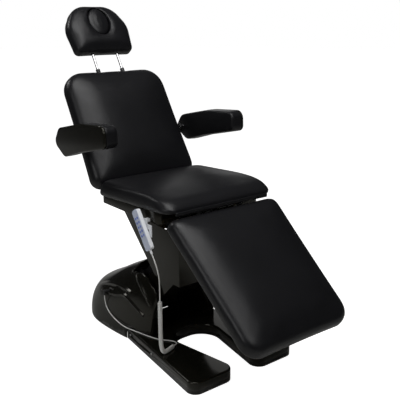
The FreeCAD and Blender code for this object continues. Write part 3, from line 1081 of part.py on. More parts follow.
# Handset: a shell with a strain relief at its lower end, a keypad plate, ten keys that travel,
# and the hook beside the seat tray that it hangs from
HALF_T = "(hand_t / 2)"
SKIN = "(wall / 2)"
body_block = softened(prism([("-hand_half", "0"), ("hand_half", "0"), ("hand_half", "hand_length"),
                             ("-hand_half", "hand_length")], f"-({HALF_T} - {SKIN})", f"hand_t - {SKIN}", HAND),
                      "hand_half / 2", lambda edge: edge.BoundBox.YLength < 0.01 and edge.BoundBox.ZLength < 0.01)
core = box(f"-{HALF_T} - overrun", "-(hand_half - 1.5 * wall)", "1.5 * wall", f"hand_t + overrun - {SKIN}",
           "2 * (hand_half - 1.5 * wall)", "hand_length - 3 * wall", HAND)
relief = stem("0", "0", "-strain_length", "2 * cord_radius", "strain_length + wall", HAND)
stud = rod(f"{HALF_T} - wall / 4", "0", "0.6 * hand_length", "hand_half / 3", "wall", HAND)
piece("handset_body", trimmed("handset_body", joined("handset_shell", body_block, relief, stud), core))
face = softened(prism([("-hand_half", "0"), ("hand_half", "0"), ("hand_half", "hand_length"),
                       ("-hand_half", "hand_length")], f"-{HALF_T}", f"{SKIN} - seat_gap", HAND),
                "hand_half / 2", lambda edge: edge.BoundBox.YLength < 0.01 and edge.BoundBox.ZLength < 0.01)
holes = []
count = 0
for line in range(5):
    for column in ("-key_column", "key_column"):
        count += 1
        spot_z = f"key_first + {line} * key_pitch"
        holes.append(rod(f"-{HALF_T} - overrun", column, spot_z, "key_radius + seat_gap", "3 * overrun", HAND))
        cap = rod(f"-{HALF_T} - key_travel * 1.6", column, spot_z, "key_radius", f"key_travel * 1.6 + {SKIN}", HAND)
        flange = rod(f"-{HALF_T} + {SKIN}", column, spot_z, "key_radius + 3 * seat_gap", f"{SKIN} / 2", HAND)
        piece(f"key_{count}", joined(f"key_{count}", cap, flange))
piece("handset_face", trimmed("handset_face", face, *holes))
HOOK_X = "(hand_x + hand_t / 2 + 3 * wall / 4 + seat_gap)"
HOOK_Z = "(hand_z + 0.6 * hand_length * cos(hand_lean))"
HOOK_Y = "(hand_y + 0.6 * hand_length * sin(hand_lean))"
hook = [box(HOOK_X, f"{HOOK_Y} - 2.6 * hand_half", f"{HOOK_Z} - hand_half / 2", "wall", "3 * hand_half", "hand_half"),
        box(HOOK_X, f"{HOOK_Y} - 2.6 * hand_half", f"{HOOK_Z} - 2 * hand_half", "wall", "0.8 * hand_half", "2 * hand_half"),
        box(HOOK_X, f"{HOOK_Y} - hand_half", f"{HOOK_Z} - hand_half / 2", "wall", "hand_half", "2 * hand_half"),
        box(HOOK_X, f"{HOOK_Y} - hand_half", f"{HOOK_Z} + 0.9 * hand_half", f"-tray_half - seat_gap - {HOOK_X}",
            "hand_half", "0.6 * hand_half")]
piece("handset_hook", joined("handset_hook", *hook))


# Cords: straight runs joined by tangent arcs, and one unbroken curled part
def cord_wire(points):
    """Straight runs with an arc at every corner, as large as the shorter run beside it allows."""
    edges, start = [], points[0]
    for before, corner, after in zip(points, points[1:], points[2:]):
        back, on = before - corner, after - corner
        reach = 0.45 * min(back.Length, on.Length)
        turn = math.pi - back.getAngle(on)
        radius = reach / math.tan(turn / 2)
        a, b = corner + back.normalize() * reach, corner + on.normalize() * reach
        middle = corner + (back + on).normalize() * (radius / math.cos(turn / 2) - radius)
        edges += [Part.LineSegment(start, a).toShape(), Part.Arc(a, middle, b).toShape()]
        start = b
        radii.append(radius)
    edges.append(Part.LineSegment(start, points[-1]).toShape())
    return Part.Wire(edges)


def swept(wire, radius):
    first = wire.Edges[0]
    start, along = first.valueAt(first.FirstParameter), first.tangentAt(first.FirstParameter)
    ring = Part.Wire([Part.makeCircle(radius, start, along)])
    pipe = Part.BRepOffsetAPI.MakePipeShell(wire)
    pipe.add(ring)
    pipe.build()
    pipe.makeSolid()
    made = pipe.shape()
    share = made.Volume / (wire.Length * math.pi * radius * radius)
    print("cord length", round(wire.Length, 1), "volume share", round(share, 4))
    return made


def smooth_points(start, leave, end, arrive, count, pull):
    """Points of one smooth run between two ends; the first and last runs keep the end directions."""
    first, last = start + leave * pull, end - arrive * pull
    reach = (last - first).Length * 0.35
    a, b = first + leave * reach, last - arrive * reach
    inner = []
    for step in range(1, count):
        t = step / count
        inner.append(first * (1 - t) ** 3 + a * (3 * t * (1 - t) ** 2) + b * (3 * t * t * (1 - t)) + last * t ** 3)
    return [start, first] + inner + [last, end]


radii = []
lean = math.radians(v.hand_lean)
down_hand = Vector(0, -math.sin(lean), -math.cos(lean))
hand_end = Vector(v.hand_x, v.hand_y, v.hand_z) + down_hand * (v.strain_length + v.seat_gap)
curl_start = Vector(v.curl_x, v.curl_y, v.curl_top)
upper_run = smooth_points(hand_end, down_hand, curl_start + Vector(0, 0, v.seat_gap), Vector(0, 0, -1), 4, v.tube)
piece("cord_upper", shaped("cord_upper", swept(cord_wire(upper_run), v.cord_radius)))

# The curled part hangs straight down, bends on the leg cover and lies on it for a short way
LIE_TURN_SHARE = 0.11
lie = Vector(math.cos(math.pi * LIE_TURN_SHARE), math.sin(math.pi * LIE_TURN_SHARE), 0)
rest_z = v.plinth_top + v.curl_radius + v.seat_gap
drop = v.curl_top - rest_z - v.curl_bend
bend_length = v.curl_bend * math.pi / 2
axis_length = drop + bend_length + v.curl_tail


def axis_frame(along):
    """Point, direction and two sideways directions of the curled part's middle line."""
    if along <= drop:
        return curl_start + Vector(0, 0, -along), Vector(0, 0, -1), lie
    if along <= drop + bend_length:
        turn = (along - drop) / v.curl_bend
        middle = curl_start + Vector(0, 0, -drop) + lie * v.curl_bend
        outward = lie * -math.cos(turn) + Vector(0, 0, -math.sin(turn))
        return middle + outward * v.curl_bend, lie * math.sin(turn) + Vector(0, 0, -math.cos(turn)), outward * -1
    low = curl_start + Vector(0, 0, -drop - v.curl_bend) + lie * v.curl_bend
    return low + lie * (along - drop - bend_length), lie, Vector(0, 0, 1)


def curl_point(share):
    """A point of the curls; the winding widens from the middle line over its first and last turn."""
    lead = 2 * v.curl_wire
    along = lead + share * (axis_length - 2 * lead)
    middle, way, side = axis_frame(along)
    turns = share * curl_count
    wide = (v.curl_radius - v.curl_wire) * math.sin(math.pi / 2 * min(1, turns / 2.5, (curl_count - turns) / 2.5))
    angle = 2 * math.pi * turns
    return middle + side * (math.cos(angle) * wide) + way.cross(side) * (math.sin(angle) * wide)


def biarc(start, leave, end, arrive):
    """Two tangent arcs from one point and direction to another."""
    gap, sum_way = end - start, leave + arrive
    a = sum_way.dot(sum_way) - 4
    b = -2 * gap.dot(sum_way)
    c = gap.dot(gap)
    reach = (-b - math.sqrt(b * b - 4 * a * c)) / (2 * a) if abs(a) > 1e-9 else -c / b
    if reach < 0:
        reach = (-b + math.sqrt(b * b - 4 * a * c)) / (2 * a)
    joint = (start + leave * reach + end - arrive * reach) * 0.5
    made = []
    for p, q, corner in ((start, joint, start + leave * reach), (joint, end, end - arrive * reach)):
        back, on = (p - corner), (q - corner)
        half = back.getAngle(on) / 2
        radius = back.Length * math.tan(half)
        middle = corner + ((p + q) * 0.5 - corner).normalize() * (radius / math.sin(half) - radius)
        made.append(Part.Arc(p, middle, q).toShape())
        curl_radii.append(radius)
    return made


curl_count = int(axis_length / v.curl_pitch)
curl_radii = []
stations = 2 * curl_count
places, ways = [], []
for i in range(stations + 1):
    share = i / stations
    places.append(curl_point(share))
    step = 1e-4
    near, far = curl_point(max(0.0, share - step)), curl_point(min(1.0, share + step))
    ways.append((far - near).normalize())
ways[0], ways[-1] = Vector(0, 0, -1), Vector(lie)
places[0] = curl_start + Vector(0, 0, -2 * v.curl_wire)
curl_edges = [Part.LineSegment(curl_start, places[0]).toShape()]
for i in range(stations):
    curl_edges += biarc(places[i], ways[i], places[i + 1], ways[i + 1])
curl_end = places[-1] + lie * (2 * v.curl_wire)
curl_edges.append(Part.LineSegment(places[-1], curl_end).toShape())
piece("cord_curl", shaped("cord_curl", swept(Part.Wire(curl_edges), v.curl_wire)))
gaps = []
for i in range(0, stations - 4):
    for j in (i + 2, i + 3):
        gaps.append((places[i] - places[j]).Length - 2 * v.curl_wire)
print("curls", curl_count, "least arc", round(min(curl_radii), 2), "least gap", round(min(gaps), 2))

# From the curled part's end the thin cord turns back on the leg cover, climbs beside the rear
# housing and enters the gland from below
LOWER_SHARES = [(-1.46, -1.0, 0.665), (-1.8, -0.6, 0.649), (-2.03, -0.05, 0.649), (-2.16, 0.5, 0.649),
                (-2.31, 1.03, 0.66), (-2.49, 1.55, 0.7), (-2.52, 2.13, 0.78), (-2.52, 2.64, 0.88),
                (-2.49, 3.15, 1.07)]
begin = curl_end + lie * v.seat_gap
entry = Vector(v.gland_x, v.gland_y, v.gland_z - v.seat_gap)
lower_run = [begin, begin + lie * (1.13 * v.tube)]
lower_run += [Vector(*place) * v.cord_reach for place in LOWER_SHARES]
lower_run += [entry - Vector(0, 0, 1.2 * v.tube), entry]
piece("cord_lower", shaped("cord_lower", swept(cord_wire(lower_run), v.cord_radius)))
print("corner radii", [round(radius, 1) for radius in radii])


def export():
    doc.recompute()
    failed = [item.Label for item in doc.Objects if "Invalid" in item.State or "Error" in item.State]
    for label, made in pieces.items():
        shape = made.Shape
        if shape.isNull() or not shape.isValid() or not shape.Solids:
            failed.append(label)
    if failed:
        raise RuntimeError("failed: " + ", ".join(failed))
    os.makedirs("parts", exist_ok=True)
    for label, made in pieces.items():
        made.Shape.exportStep(f"parts/{label}.step")
    print(len(pieces), "pieces,", sum(len(made.Shape.Solids) for made in pieces.values()), "solids")
    print({label: len(made.Shape.Solids) for label, made in pieces.items() if len(made.Shape.Solids) > 1})


export()
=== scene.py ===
import math

import bmesh
import bpy
import numpy as np
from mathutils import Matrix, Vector
from mathutils.bvhtree import BVHTree


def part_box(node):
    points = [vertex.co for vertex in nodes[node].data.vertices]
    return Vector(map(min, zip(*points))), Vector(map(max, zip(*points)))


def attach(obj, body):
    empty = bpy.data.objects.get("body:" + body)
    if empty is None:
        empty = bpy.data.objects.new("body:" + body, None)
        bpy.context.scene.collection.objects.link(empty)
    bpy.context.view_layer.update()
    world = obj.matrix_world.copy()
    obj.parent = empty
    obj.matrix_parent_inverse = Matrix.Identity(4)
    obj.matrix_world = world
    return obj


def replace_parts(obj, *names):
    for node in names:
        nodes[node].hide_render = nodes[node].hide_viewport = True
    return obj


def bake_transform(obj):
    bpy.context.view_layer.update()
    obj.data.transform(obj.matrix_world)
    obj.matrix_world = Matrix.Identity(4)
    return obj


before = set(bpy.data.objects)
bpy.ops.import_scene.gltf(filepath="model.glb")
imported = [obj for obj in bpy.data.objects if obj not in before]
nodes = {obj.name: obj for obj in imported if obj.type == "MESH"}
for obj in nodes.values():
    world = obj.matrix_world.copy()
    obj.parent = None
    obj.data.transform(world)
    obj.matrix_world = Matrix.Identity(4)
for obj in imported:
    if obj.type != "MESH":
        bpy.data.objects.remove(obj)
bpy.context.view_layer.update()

# The view: from the sitter's right front, a little above the seat, through a short telephoto lens.
# It looks at the seat's frame, on the chair's middle plane.
turn, rise, distance = math.radians(-38.56), math.radians(15.87), 2.95288
looked_at = Vector((0, -0.16403, 0.73922))
towards_camera = Vector((math.sin(turn) * math.cos(rise),
                         -math.cos(turn) * math.cos(rise),
                         math.sin(rise)))
camera = bpy.data.objects.new("camera", bpy.data.cameras.new("camera"))
bpy.context.scene.collection.objects.link(camera)
camera.data.sensor_width = 36
camera.data.lens = 58.83
camera.data.shift_x, camera.data.shift_y = -0.0103, 0.0043
camera.data.clip_start, camera.data.clip_end = 0.05, 100
camera.location = looked_at + towards_camera * distance
camera.rotation_mode = "QUATERNION"
camera.rotation_quaternion = (-towards_camera).to_track_quat("-Z", "Y")
bpy.context.scene.camera = camera


# The studio: a pale floor that the camera sees as white, a dim sky that only the chair sees, and
# five square soft lights, the strongest overhead. Shader sums are written as Python sums: a Term is
# a socket, a Shading holds one tree of nodes, and a Finish is the Shading of one material.
class Term:
    def __init__(self, shading, socket):
        self.shading, self.socket = shading, socket

    def sum(self, how, a, b):
        return self.shading.node("ShaderNodeMath", {"operation": how}, {0: a, 1: b})

    def __add__(self, other):
        return self.sum("ADD", self, other)

    def __mul__(self, other):
        return self.sum("MULTIPLY", self, other)

    __radd__, __rmul__ = __add__, __mul__


class Shading:
    def __init__(self, tree):
        self.tree = tree

    def node(self, kind, settings=None, values=None, out=0):
        """A node with its settings made first, then its sockets' values or links."""
        made = self.tree.nodes.new(kind)
        for setting, value in (settings or {}).items():
            if setting == "stops":
                for element, (place, shade) in zip(made.color_ramp.elements, value):
                    element.position, element.color = place, shade
            else:
                setattr(made, setting, value)
        for socket, value in (values or {}).items():
            if isinstance(value, Term):
                self.tree.links.new(value.socket, made.inputs[socket])
            else:
                made.inputs[socket].default_value = value
        return Term(self, made.outputs[out])


class Finish(Shading):
    def __init__(self, name, **constants):
        self.material = bpy.data.materials.new(name)
        self.material.use_nodes = True
        super().__init__(self.material.node_tree)
        self.shader = self.tree.nodes["Principled BSDF"]
        for socket, value in constants.items():
            self.shader.inputs[socket.replace("_", " ")].default_value = value

    def place(self):
        return self.node("ShaderNodeTexCoord", out="Object")

    def noise(self, scale, detail=3, rough=0.5):
        values = {"Vector": self.place(), "Scale": scale, "Detail": detail, "Roughness": rough}
        return self.node("ShaderNodeTexNoise", values=values, out="Fac")

    def colours(self, share, first, second):
        """A mix of two colours; a Mix node's colour sockets are numbers 6 and 7, its result 2."""
        mixed = {0: share, 6: first, 7: second}
        return self.node("ShaderNodeMix", {"data_type": "RGBA"}, mixed, out=2)

    def feed(self, **links):
        for socket, term in links.items():
            self.tree.links.new(term.socket, self.shader.inputs[socket.replace("_", " ")])
        return self

    def bumped(self, height, distance, strength=1.0):
        relief = {"Height": height, "Distance": distance, "Strength": strength}
        return self.feed(Normal=self.node("ShaderNodeBump", values=relief))


def rgb(r, g, b):
    return (r, g, b, 1)


floor_radius = 30
floor_mesh = bpy.data.meshes.new("floor")
ground = bmesh.new()
bmesh.ops.create_circle(ground, cap_ends=True, radius=floor_radius, segments=64)
ground.to_mesh(floor_mesh)
ground.free()
floor = bpy.data.objects.new("floor", floor_mesh)
bpy.context.scene.collection.objects.link(floor)
pale = Finish("pale_floor", Base_Color=rgb(0.62, 0.62, 0.6), Roughness=0.9, Specular_IOR_Level=0.0,
              Emission_Strength=1.0)
pale.feed(Emission_Color=pale.node("ShaderNodeLightPath", out="Is Camera Ray") * 0.985)
floor_mesh.materials.append(pale.material)

world = bpy.data.worlds.new("studio")
bpy.context.scene.world = world
world.use_nodes = True
sky = Shading(world.node_tree)
height = sky.node("ShaderNodeSeparateXYZ", out="Z",
                  values={"Vector": sky.node("ShaderNodeTexCoord", out="Generated")})
sky_stops = ((0.45, rgb(0.03, 0.03, 0.03)), (0.95, rgb(0.16, 0.16, 0.17)))
glow = sky.node("ShaderNodeValToRGB", {"stops": sky_stops}, {"Fac": height})
dim = sky.node("ShaderNodeBackground", values={"Color": glow})
clean = sky.node("ShaderNodeBackground", values={"Color": rgb(1, 1, 1)})
seen = sky.node("ShaderNodeLightPath", out="Is Camera Ray")
choice = sky.node("ShaderNodeMixShader", values={0: seen, 1: dim, 2: clean})
sky.tree.links.new(choice.socket, sky.tree.nodes["World Output"].inputs["Surface"])
sky.tree.nodes.remove(sky.tree.nodes["Background"])
bpy.context.scene.view_settings.view_transform = "Standard"

for light_name, light_place, lit, light_size, watts in (
        ("overhead_light", (-0.35, -0.7, 3.8), (0, 0, 0.5), 1.9, 60),
        ("front_light", (-0.3, -3.0, 3.4), (0, -0.1, 0.9), 1.5, 24),
        ("side_light", (-3.3, -0.9, 2.4), (0, 0, 0.9), 1.5, 24),
        ("rear_light", (-1.5, 2.7, 2.9), (0, 0.1, 0.5), 0.9, 20),
        ("far_light", (2.6, 3.6, 2.4), (0, 0, 0.8), 2.4, 10)):
    lamp = bpy.data.objects.new(light_name, bpy.data.lights.new(light_name, "AREA"))
    lamp.data.shape, lamp.data.size, lamp.data.energy = "SQUARE", light_size, watts
    lamp.location = light_place
    lamp.rotation_mode = "QUATERNION"
    lamp.rotation_quaternion = (Vector(lit) - Vector(light_place)).to_track_quat("-Z", "Y")
    bpy.context.scene.collection.objects.link(lamp)


# Base frame: square steel tubes with two pivot towers and the lift actuator's lugs, welded and
# powder coated. It stands on six rubber feet, and turned steel shafts pass through its towers.
def grained(name, tone, other, rough, scale, depth, metallic=0.0):
    """A finish whose tone and gloss vary over the surface, with a fine relief."""
    made = Finish(name, Metallic=metallic)
    broad, fine = made.noise(9), made.noise(scale, 4)
    made.feed(Base_Color=made.colours(broad, rgb(*tone), rgb(*other)),
              Roughness=broad * 0.12 + rough)
    return made.bumped(fine, depth, 0.6)


def coat(finish, *names):
    """Puts a finish on CAD nodes that show as they are."""
    for name in names:
        mesh = nodes[name].data
        mesh.materials.clear()
        mesh.materials.append(finish.material)


powder = grained("powder_coat", (0.012, 0.012, 0.013), (0.02, 0.02, 0.021), 0.42, 900, 0.0003)
rubber = grained("foot_rubber", (0.012, 0.012, 0.012), (0.022, 0.022, 0.022), 0.75, 500, 0.0004)
turned = grained("turned_steel", (0.55, 0.55, 0.56), (0.68, 0.68, 0.69), 0.22, 1500, 0.00004, 1.0)
coat(powder, "base_frame")
coat(rubber, "rubber_feet")
coat(turned, "base_pivot_shafts")

# Control box and power inlet: moulded plastic cases fixed to the frame's rails inside the housing.
# The cord's gland is of the same plastic and sits in the rear housing's side.
case_plastic = grained("grained_case", (0.018, 0.018, 0.019), (0.028, 0.028, 0.029), 0.55, 700,
                       0.0003)
coat(case_plastic, "control_box", "power_inlet", "cord_gland")

# Lift actuator: an anodised aluminium tube with its motor beside it, pinned to the frame's rear
# lugs. It pushes a polished steel rod against the crank of the lower lifting arm.
anodised = grained("anodised_tube", (0.30, 0.31, 0.32), (0.38, 0.39, 0.40), 0.34, 1200, 0.00005,
                   0.9)
polished = grained("polished_rod", (0.75, 0.75, 0.76), (0.85, 0.85, 0.86), 0.08, 60, 0.00002, 1.0)
coat(anodised, "lift_actuator_housing")
coat(polished, "lift_actuator_rod")

# Lifting arms: two welded arms of steel tube, one above the other, on shafts in the towers below
# and in the seat frame above. The two stay parallel, so the seat stays level while it rises.
coat(powder, "lower_lift_arm", "upper_lift_arm")

# Covers: vacuum-formed sheets of black gloss plastic, a little olive where the light grazes them.
# One covers the lifting arms, one the two toes of the base, and one is the domed rear housing. Six
# screws hold the lower two.
gloss = Finish("black_gloss_cover", Specular_IOR_Level=0.3, Specular_Tint=rgb(1, 0.97, 0.86))
dust, ripple = gloss.noise(14, 4), gloss.noise(26, 2)
olive_black, dusty_black = rgb(0.0052, 0.0050, 0.0036), rgb(0.0085, 0.0082, 0.0062)
gloss.feed(Base_Color=gloss.colours(dust, olive_black, dusty_black), Roughness=dust * 0.08 + 0.08)
gloss.bumped(ripple, 0.0006, 0.35)


def link_piece(name, mesh, finish, body):
    """A finished mesh as a piece in its one finish, riding on its body."""
    mesh.name = name
    for face in mesh.polygons:
        face.use_smooth = True
    mesh.materials.clear()
    mesh.materials.append(finish.material)
    piece = bpy.data.objects.new(name, mesh)
    bpy.context.scene.collection.objects.link(piece)
    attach(piece, body)
    return piece


def formed_cover(name, node, body, edge):
    """A merged copy of a CAD cover, its sharp edges rounded by a bevel this wide, if any."""
    mesh = nodes[node].data.copy()
    made = bmesh.new()
    made.from_mesh(mesh)
    bmesh.ops.remove_doubles(made, verts=made.verts, dist=0.0001)
    flat_enough = math.radians(0.8)
    bmesh.ops.dissolve_limit(made, angle_limit=flat_enough, verts=made.verts, edges=made.edges)
    made.to_mesh(mesh)
    made.free()
    piece = link_piece(name, mesh, gloss, body)
    if edge:
        rounding = piece.modifiers.new("rounding", "BEVEL")
        rounding.width, rounding.segments, rounding.limit_method = edge, 3, "ANGLE"
        rounding.angle_limit, rounding.harden_normals = math.radians(38), True
    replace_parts(piece, node)


formed_cover("arm_cover_shell", "arm_cover", "lower_arm", 0.001)
formed_cover("leg_cover_shell", "leg_cover", "base", 0.0)
formed_cover("rear_housing_shell", "rear_housing", "base", 0.0)
coat(turned, "cover_screws")

# Beads: long ridges pressed into the rear housing's sides, which stiffen the thin sheet. They sweep
# from behind the hump down to its waist, and each swells out of the sheet and fades at its ends.
housing_mesh = nodes["rear_housing"].data
housing_skin = BVHTree.FromPolygons([corner.co for corner in housing_mesh.vertices],
                                    [tuple(face.vertices) for face in housing_mesh.polygons])


def route_line(name, points):
    """A route as a smooth NURBS curve with the given points as its control points."""
    curve = bpy.data.curves.new(name, "CURVE")
    curve.dimensions = "3D"
    curve.resolution_u = 12
    line = curve.splines.new("NURBS")
    line.points.add(len(points) - 1)
    for point, place in zip(line.points, points):
        point.co = (*place, 1)
    line.order_u = 3
    line.use_endpoint_u = True
    return curve


def drawn_mesh(name, curve):
    """The mesh that Blender draws for a curve: a line, or a tube where the curve has a bevel."""
    holder = bpy.data.objects.new(name + "_holder", curve)
    bpy.context.scene.collection.objects.link(holder)
    bpy.context.view_layer.update()
    drawn = holder.evaluated_get(bpy.context.evaluated_depsgraph_get())
    mesh = bpy.data.meshes.new_from_object(drawn)
    bpy.data.objects.remove(holder)
    return mesh


def read_line(name, points):
    """The points of a route's own NURBS line."""
    return [corner.co.copy() for corner in drawn_mesh(name, route_line(name, points)).vertices]


def line_length(places):
    return sum((b - a).length for a, b in zip(places, places[1:]))


def even(places, step):
    """Points a steady step apart along a line."""
    total, walked, found = line_length(places), 0.0, [places[0].copy()]
    count = max(2, round(total / step))
    aim = total / count
    for a, b in zip(places, places[1:]):
        gap = (b - a).length
        while gap > 0 and walked + gap >= aim * len(found) - 1e-9 and len(found) < count:
            found.append(a.lerp(b, (aim * len(found) - walked) / gap))
        walked += gap
    return found + [places[-1].copy()]


def bead(name, route, half_wide, tall, side):
    """A pressed bead along a route; side is -1 on the sitter's right and 1 on the left."""
    grid_step, hidden_edge, sheet = 0.006, 0.0004, 0.0015
    path = even(read_line(name + "_line", [(side * x, y, z) for x, y, z in route]), grid_step)
    last = len(path) - 1
    made = bmesh.new()
    bmesh.ops.create_grid(made, x_segments=last, y_segments=8, size=1)
    for vert in made.verts:
        along, across = (vert.co.x + 1) / 2, vert.co.y
        step = round(along * last)
        on_skin, outward = housing_skin.find_nearest(path[step])[:2]
        ahead = (path[min(step + 1, last)] - path[max(step - 1, 0)]).normalized()
        sideways = outward.cross(ahead).normalized()
        foot, way_out = housing_skin.find_nearest(on_skin + sideways * half_wide * across)[:2]
        fade = min(1, math.sin(math.pi * along) * 1.6)
        swell = tall * fade * (0.5 + 0.5 * math.cos(math.pi * across))
        vert.co = foot + way_out * (swell - hidden_edge)
    for back in bmesh.ops.extrude_face_region(made, geom=made.faces[:])["geom"]:
        if isinstance(back, bmesh.types.BMVert):
            back.co -= housing_skin.find_nearest(back.co)[1] * sheet
    bmesh.ops.recalc_face_normals(made, faces=made.faces)
    mesh = bpy.data.meshes.new(name)
    made.to_mesh(mesh)
    made.free()
    link_piece(name, mesh, gloss, "base")


mouth_bead = [(0.137, 0.230, 0.331), (0.160, 0.170, 0.326), (0.178, 0.120, 0.302),
              (0.1855, 0.076, 0.272), (0.1855, 0.034, 0.234), (0.178, 0.002, 0.195)]
upper_bead = [(0.181, 0.499, 0.170), (0.189, 0.431, 0.199), (0.196, 0.360, 0.222),
              (0.200, 0.2985, 0.2355), (0.205, 0.211, 0.246), (0.2045, 0.140, 0.238),
              (0.2005, 0.060, 0.203), (0.187, 0.001, 0.158)]
lower_bead = [(0.2115, 0.440, 0.163), (0.221, 0.335, 0.185), (0.2214, 0.261, 0.199),
              (0.2144, 0.205, 0.2205), (0.2164, 0.147, 0.2025), (0.2117, 0.084, 0.176),
              (0.200, 0.025, 0.142), (0.172, 0.003, 0.100)]
for hand, hand_side in (("right", -1), ("left", 1)):
    bead(f"{hand}_mouth_bead", mouth_bead, 0.012, 0.007, hand_side)
    bead(f"{hand}_upper_bead", upper_bead, 0.014, 0.008, hand_side)
    bead(f"{hand}_lower_bead", lower_bead, 0.013, 0.007, hand_side)

# Seat frame: square steel tubes that carry the neck's shafts, the hinge shafts of the back and leg
# sections, and the two actuators that tilt these, each on its pins.
coat(powder, "seat_frame")
coat(turned, "upper_pivot_shafts", "back_hinge_shaft", "leg_hinge_shaft", "actuator_pins")
coat(anodised, "back_actuator_housing", "leg_actuator_housing")
coat(polished, "back_actuator_rod", "leg_actuator_rod")

# Neck cover and seat tray: formed covers of the same gloss plastic. They hide the lifting arms'
# upper ends and the seat frame, and are screwed to the frame from inside.
formed_cover("neck_cover_shell", "neck_cover", "carriage", 0.003)
formed_cover("seat_tray_shell", "seat_tray", "carriage", 0.002)

# Seat: foam on a plywood board, with smooth black artificial leather pulled over it and stapled
# under the board. The leather has a fine pebble and soft creases.
leather = Finish("black_leather", Specular_IOR_Level=0.28)
pebble = leather.node("ShaderNodeTexVoronoi", {"feature": "F1"},
                      {"Vector": leather.place(), "Scale": 620}, out="Distance")
cloud, crease = leather.noise(5), leather.noise(38, 3, 0.6)
deep_black, worn_black = rgb(0.0050, 0.0050, 0.0058), rgb(0.0078, 0.0078, 0.0090)
leather.feed(Base_Color=leather.colours(cloud, deep_black, worn_black),
             Roughness=cloud * 0.10 + pebble * 0.06 + 0.26)
leather.bumped(pebble * 0.35 + crease * 0.65, 0.0007, 0.55)
plywood = Finish("raw_plywood", Roughness=0.7)
rings = plywood.node("ShaderNodeTexWave", {"wave_type": "BANDS", "bands_direction": "X"},
                     {"Vector": plywood.place(), "Scale": 6, "Distortion": 9, "Detail": 3},
                     out="Fac")
plywood.feed(Base_Color=plywood.colours(rings, rgb(0.40, 0.27, 0.15), rgb(0.55, 0.40, 0.25)))
plywood.bumped(plywood.noise(300), 0.0004, 0.5)


def evened(field, edges, rounds, share=None):
    """A field over a mesh's points after so many rounds of averaging with their neighbours."""
    ends = np.concatenate([edges, edges[:, ::-1]])
    ties = np.bincount(ends[:, 0], minlength=len(field)).astype(float)
    keep = np.ones(len(field)) if share is None else share
    for turn_of_rounds in range(rounds):
        sums = [np.bincount(ends[:, 0], field[ends[:, 1], axis], len(field)) for axis in range(3)]
        mean = np.stack(sums, 1) / np.maximum(ties, 1)[:, None]
        field = field + (mean - field) * (0.6 * keep)[:, None]
    return field


def blown_up(pad, held, count):
    """A pad's points after a cloth run under pressure; held is how firmly each is pinned."""
    group = pad.vertex_groups.new(name="held")
    for index in np.nonzero(held > 0)[0].tolist():
        group.add([index], float(held[index]), "REPLACE")
    cloth = pad.modifiers.new("stuffing", "CLOTH")
    cloth.settings.quality = 4
    cloth.settings.mass = 0.3
    cloth.settings.tension_stiffness = cloth.settings.compression_stiffness = 22
    cloth.settings.shear_stiffness, cloth.settings.bending_stiffness = 8, 4
    cloth.settings.use_pressure, cloth.settings.uniform_pressure_force = True, 4
    cloth.settings.effector_weights.gravity = 0
    cloth.settings.vertex_group_mass = "held"
    cloth.collision_settings.use_collision = False
    for step in range(1, 21):
        bpy.context.scene.frame_set(step)
    drawn = pad.evaluated_get(bpy.context.evaluated_depsgraph_get())
    blown = bpy.data.meshes.new_from_object(drawn)
    end = np.zeros(count * 3)
    blown.vertices.foreach_get("co", end)
    pad.modifiers.clear()
    pad.vertex_groups.clear()
    bpy.data.meshes.remove(blown)
    return end.reshape(-1, 3)


def cushion(name, node, body, facing, held_depth, voxel, round_by, start_in, swell):
    """A pad blown up from a slightly smaller, rounder copy of its foam. Facing is the way that its
    top looks, and the lowest held_depth of it keeps its shape. Only outward motion of the cloth
    counts, and swell is the most of it."""
    made = bmesh.new()
    made.from_mesh(nodes[node].data)
    bmesh.ops.remove_doubles(made, verts=made.verts, dist=0.0001)
    foam = bpy.data.meshes.new(name + "_foam")
    made.to_mesh(foam)
    made.free()
    pad = bpy.data.objects.new(name, foam)
    bpy.context.scene.collection.objects.link(pad)
    closing = pad.modifiers.new("closing", "REMESH")
    closing.mode, closing.voxel_size = "VOXEL", voxel
    bpy.context.view_layer.update()
    drawn = pad.evaluated_get(bpy.context.evaluated_depsgraph_get())
    skin = bpy.data.meshes.new_from_object(drawn)
    pad.modifiers.clear()
    pad.data = skin
    skin.name = name
    count = len(skin.vertices)
    co, normal = np.zeros(count * 3), np.zeros(count * 3)
    skin.vertices.foreach_get("co", co)
    skin.vertices.foreach_get("normal", normal)
    co, normal = co.reshape(-1, 3), normal.reshape(-1, 3)
    edges = np.zeros(len(skin.edges) * 2, dtype=int)
    skin.edges.foreach_get("vertices", edges)
    edges = edges.reshape(-1, 2)
    height = co @ np.array(Vector(facing).normalized())
    ramp = np.clip((height - height.min() - held_depth) / 0.02, 0, 1)
    free = ramp * ramp * (3 - 2 * ramp)
    rounds = round((round_by / voxel) ** 2)
    inner = evened(co - normal * (start_in * free)[:, None], edges, rounds, free)
    skin.vertices.foreach_set("co", inner.ravel())
    skin.update()
    end = blown_up(pad, 1 - free, count)
    skin.vertices.foreach_get("normal", normal.reshape(-1))
    out = np.maximum(((end - inner) * normal).sum(1), 0)
    share = np.minimum(out / np.percentile(out, 98), 1)
    move = evened(normal * (swell * share)[:, None], edges, rounds)
    skin.vertices.foreach_set("co", (inner + move).ravel())
    skin.update()
    bpy.context.scene.frame_set(1)
    for face in skin.polygons:
        face.use_smooth = True
    skin.materials.clear()
    skin.materials.append(leather.material)
    finer = pad.modifiers.new("finer", "SUBSURF")
    finer.levels = finer.render_levels = 1
    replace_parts(pad, node)
    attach(pad, body)


broad_pad = {"voxel": 0.0065, "round_by": 0.035, "start_in": 0.001, "swell": 0.018}
coat(plywood, "seat_board")
cushion("seat_pad", "seat_cushion", "carriage", (0, 0.0523, 0.9986), 0.016, **broad_pad)

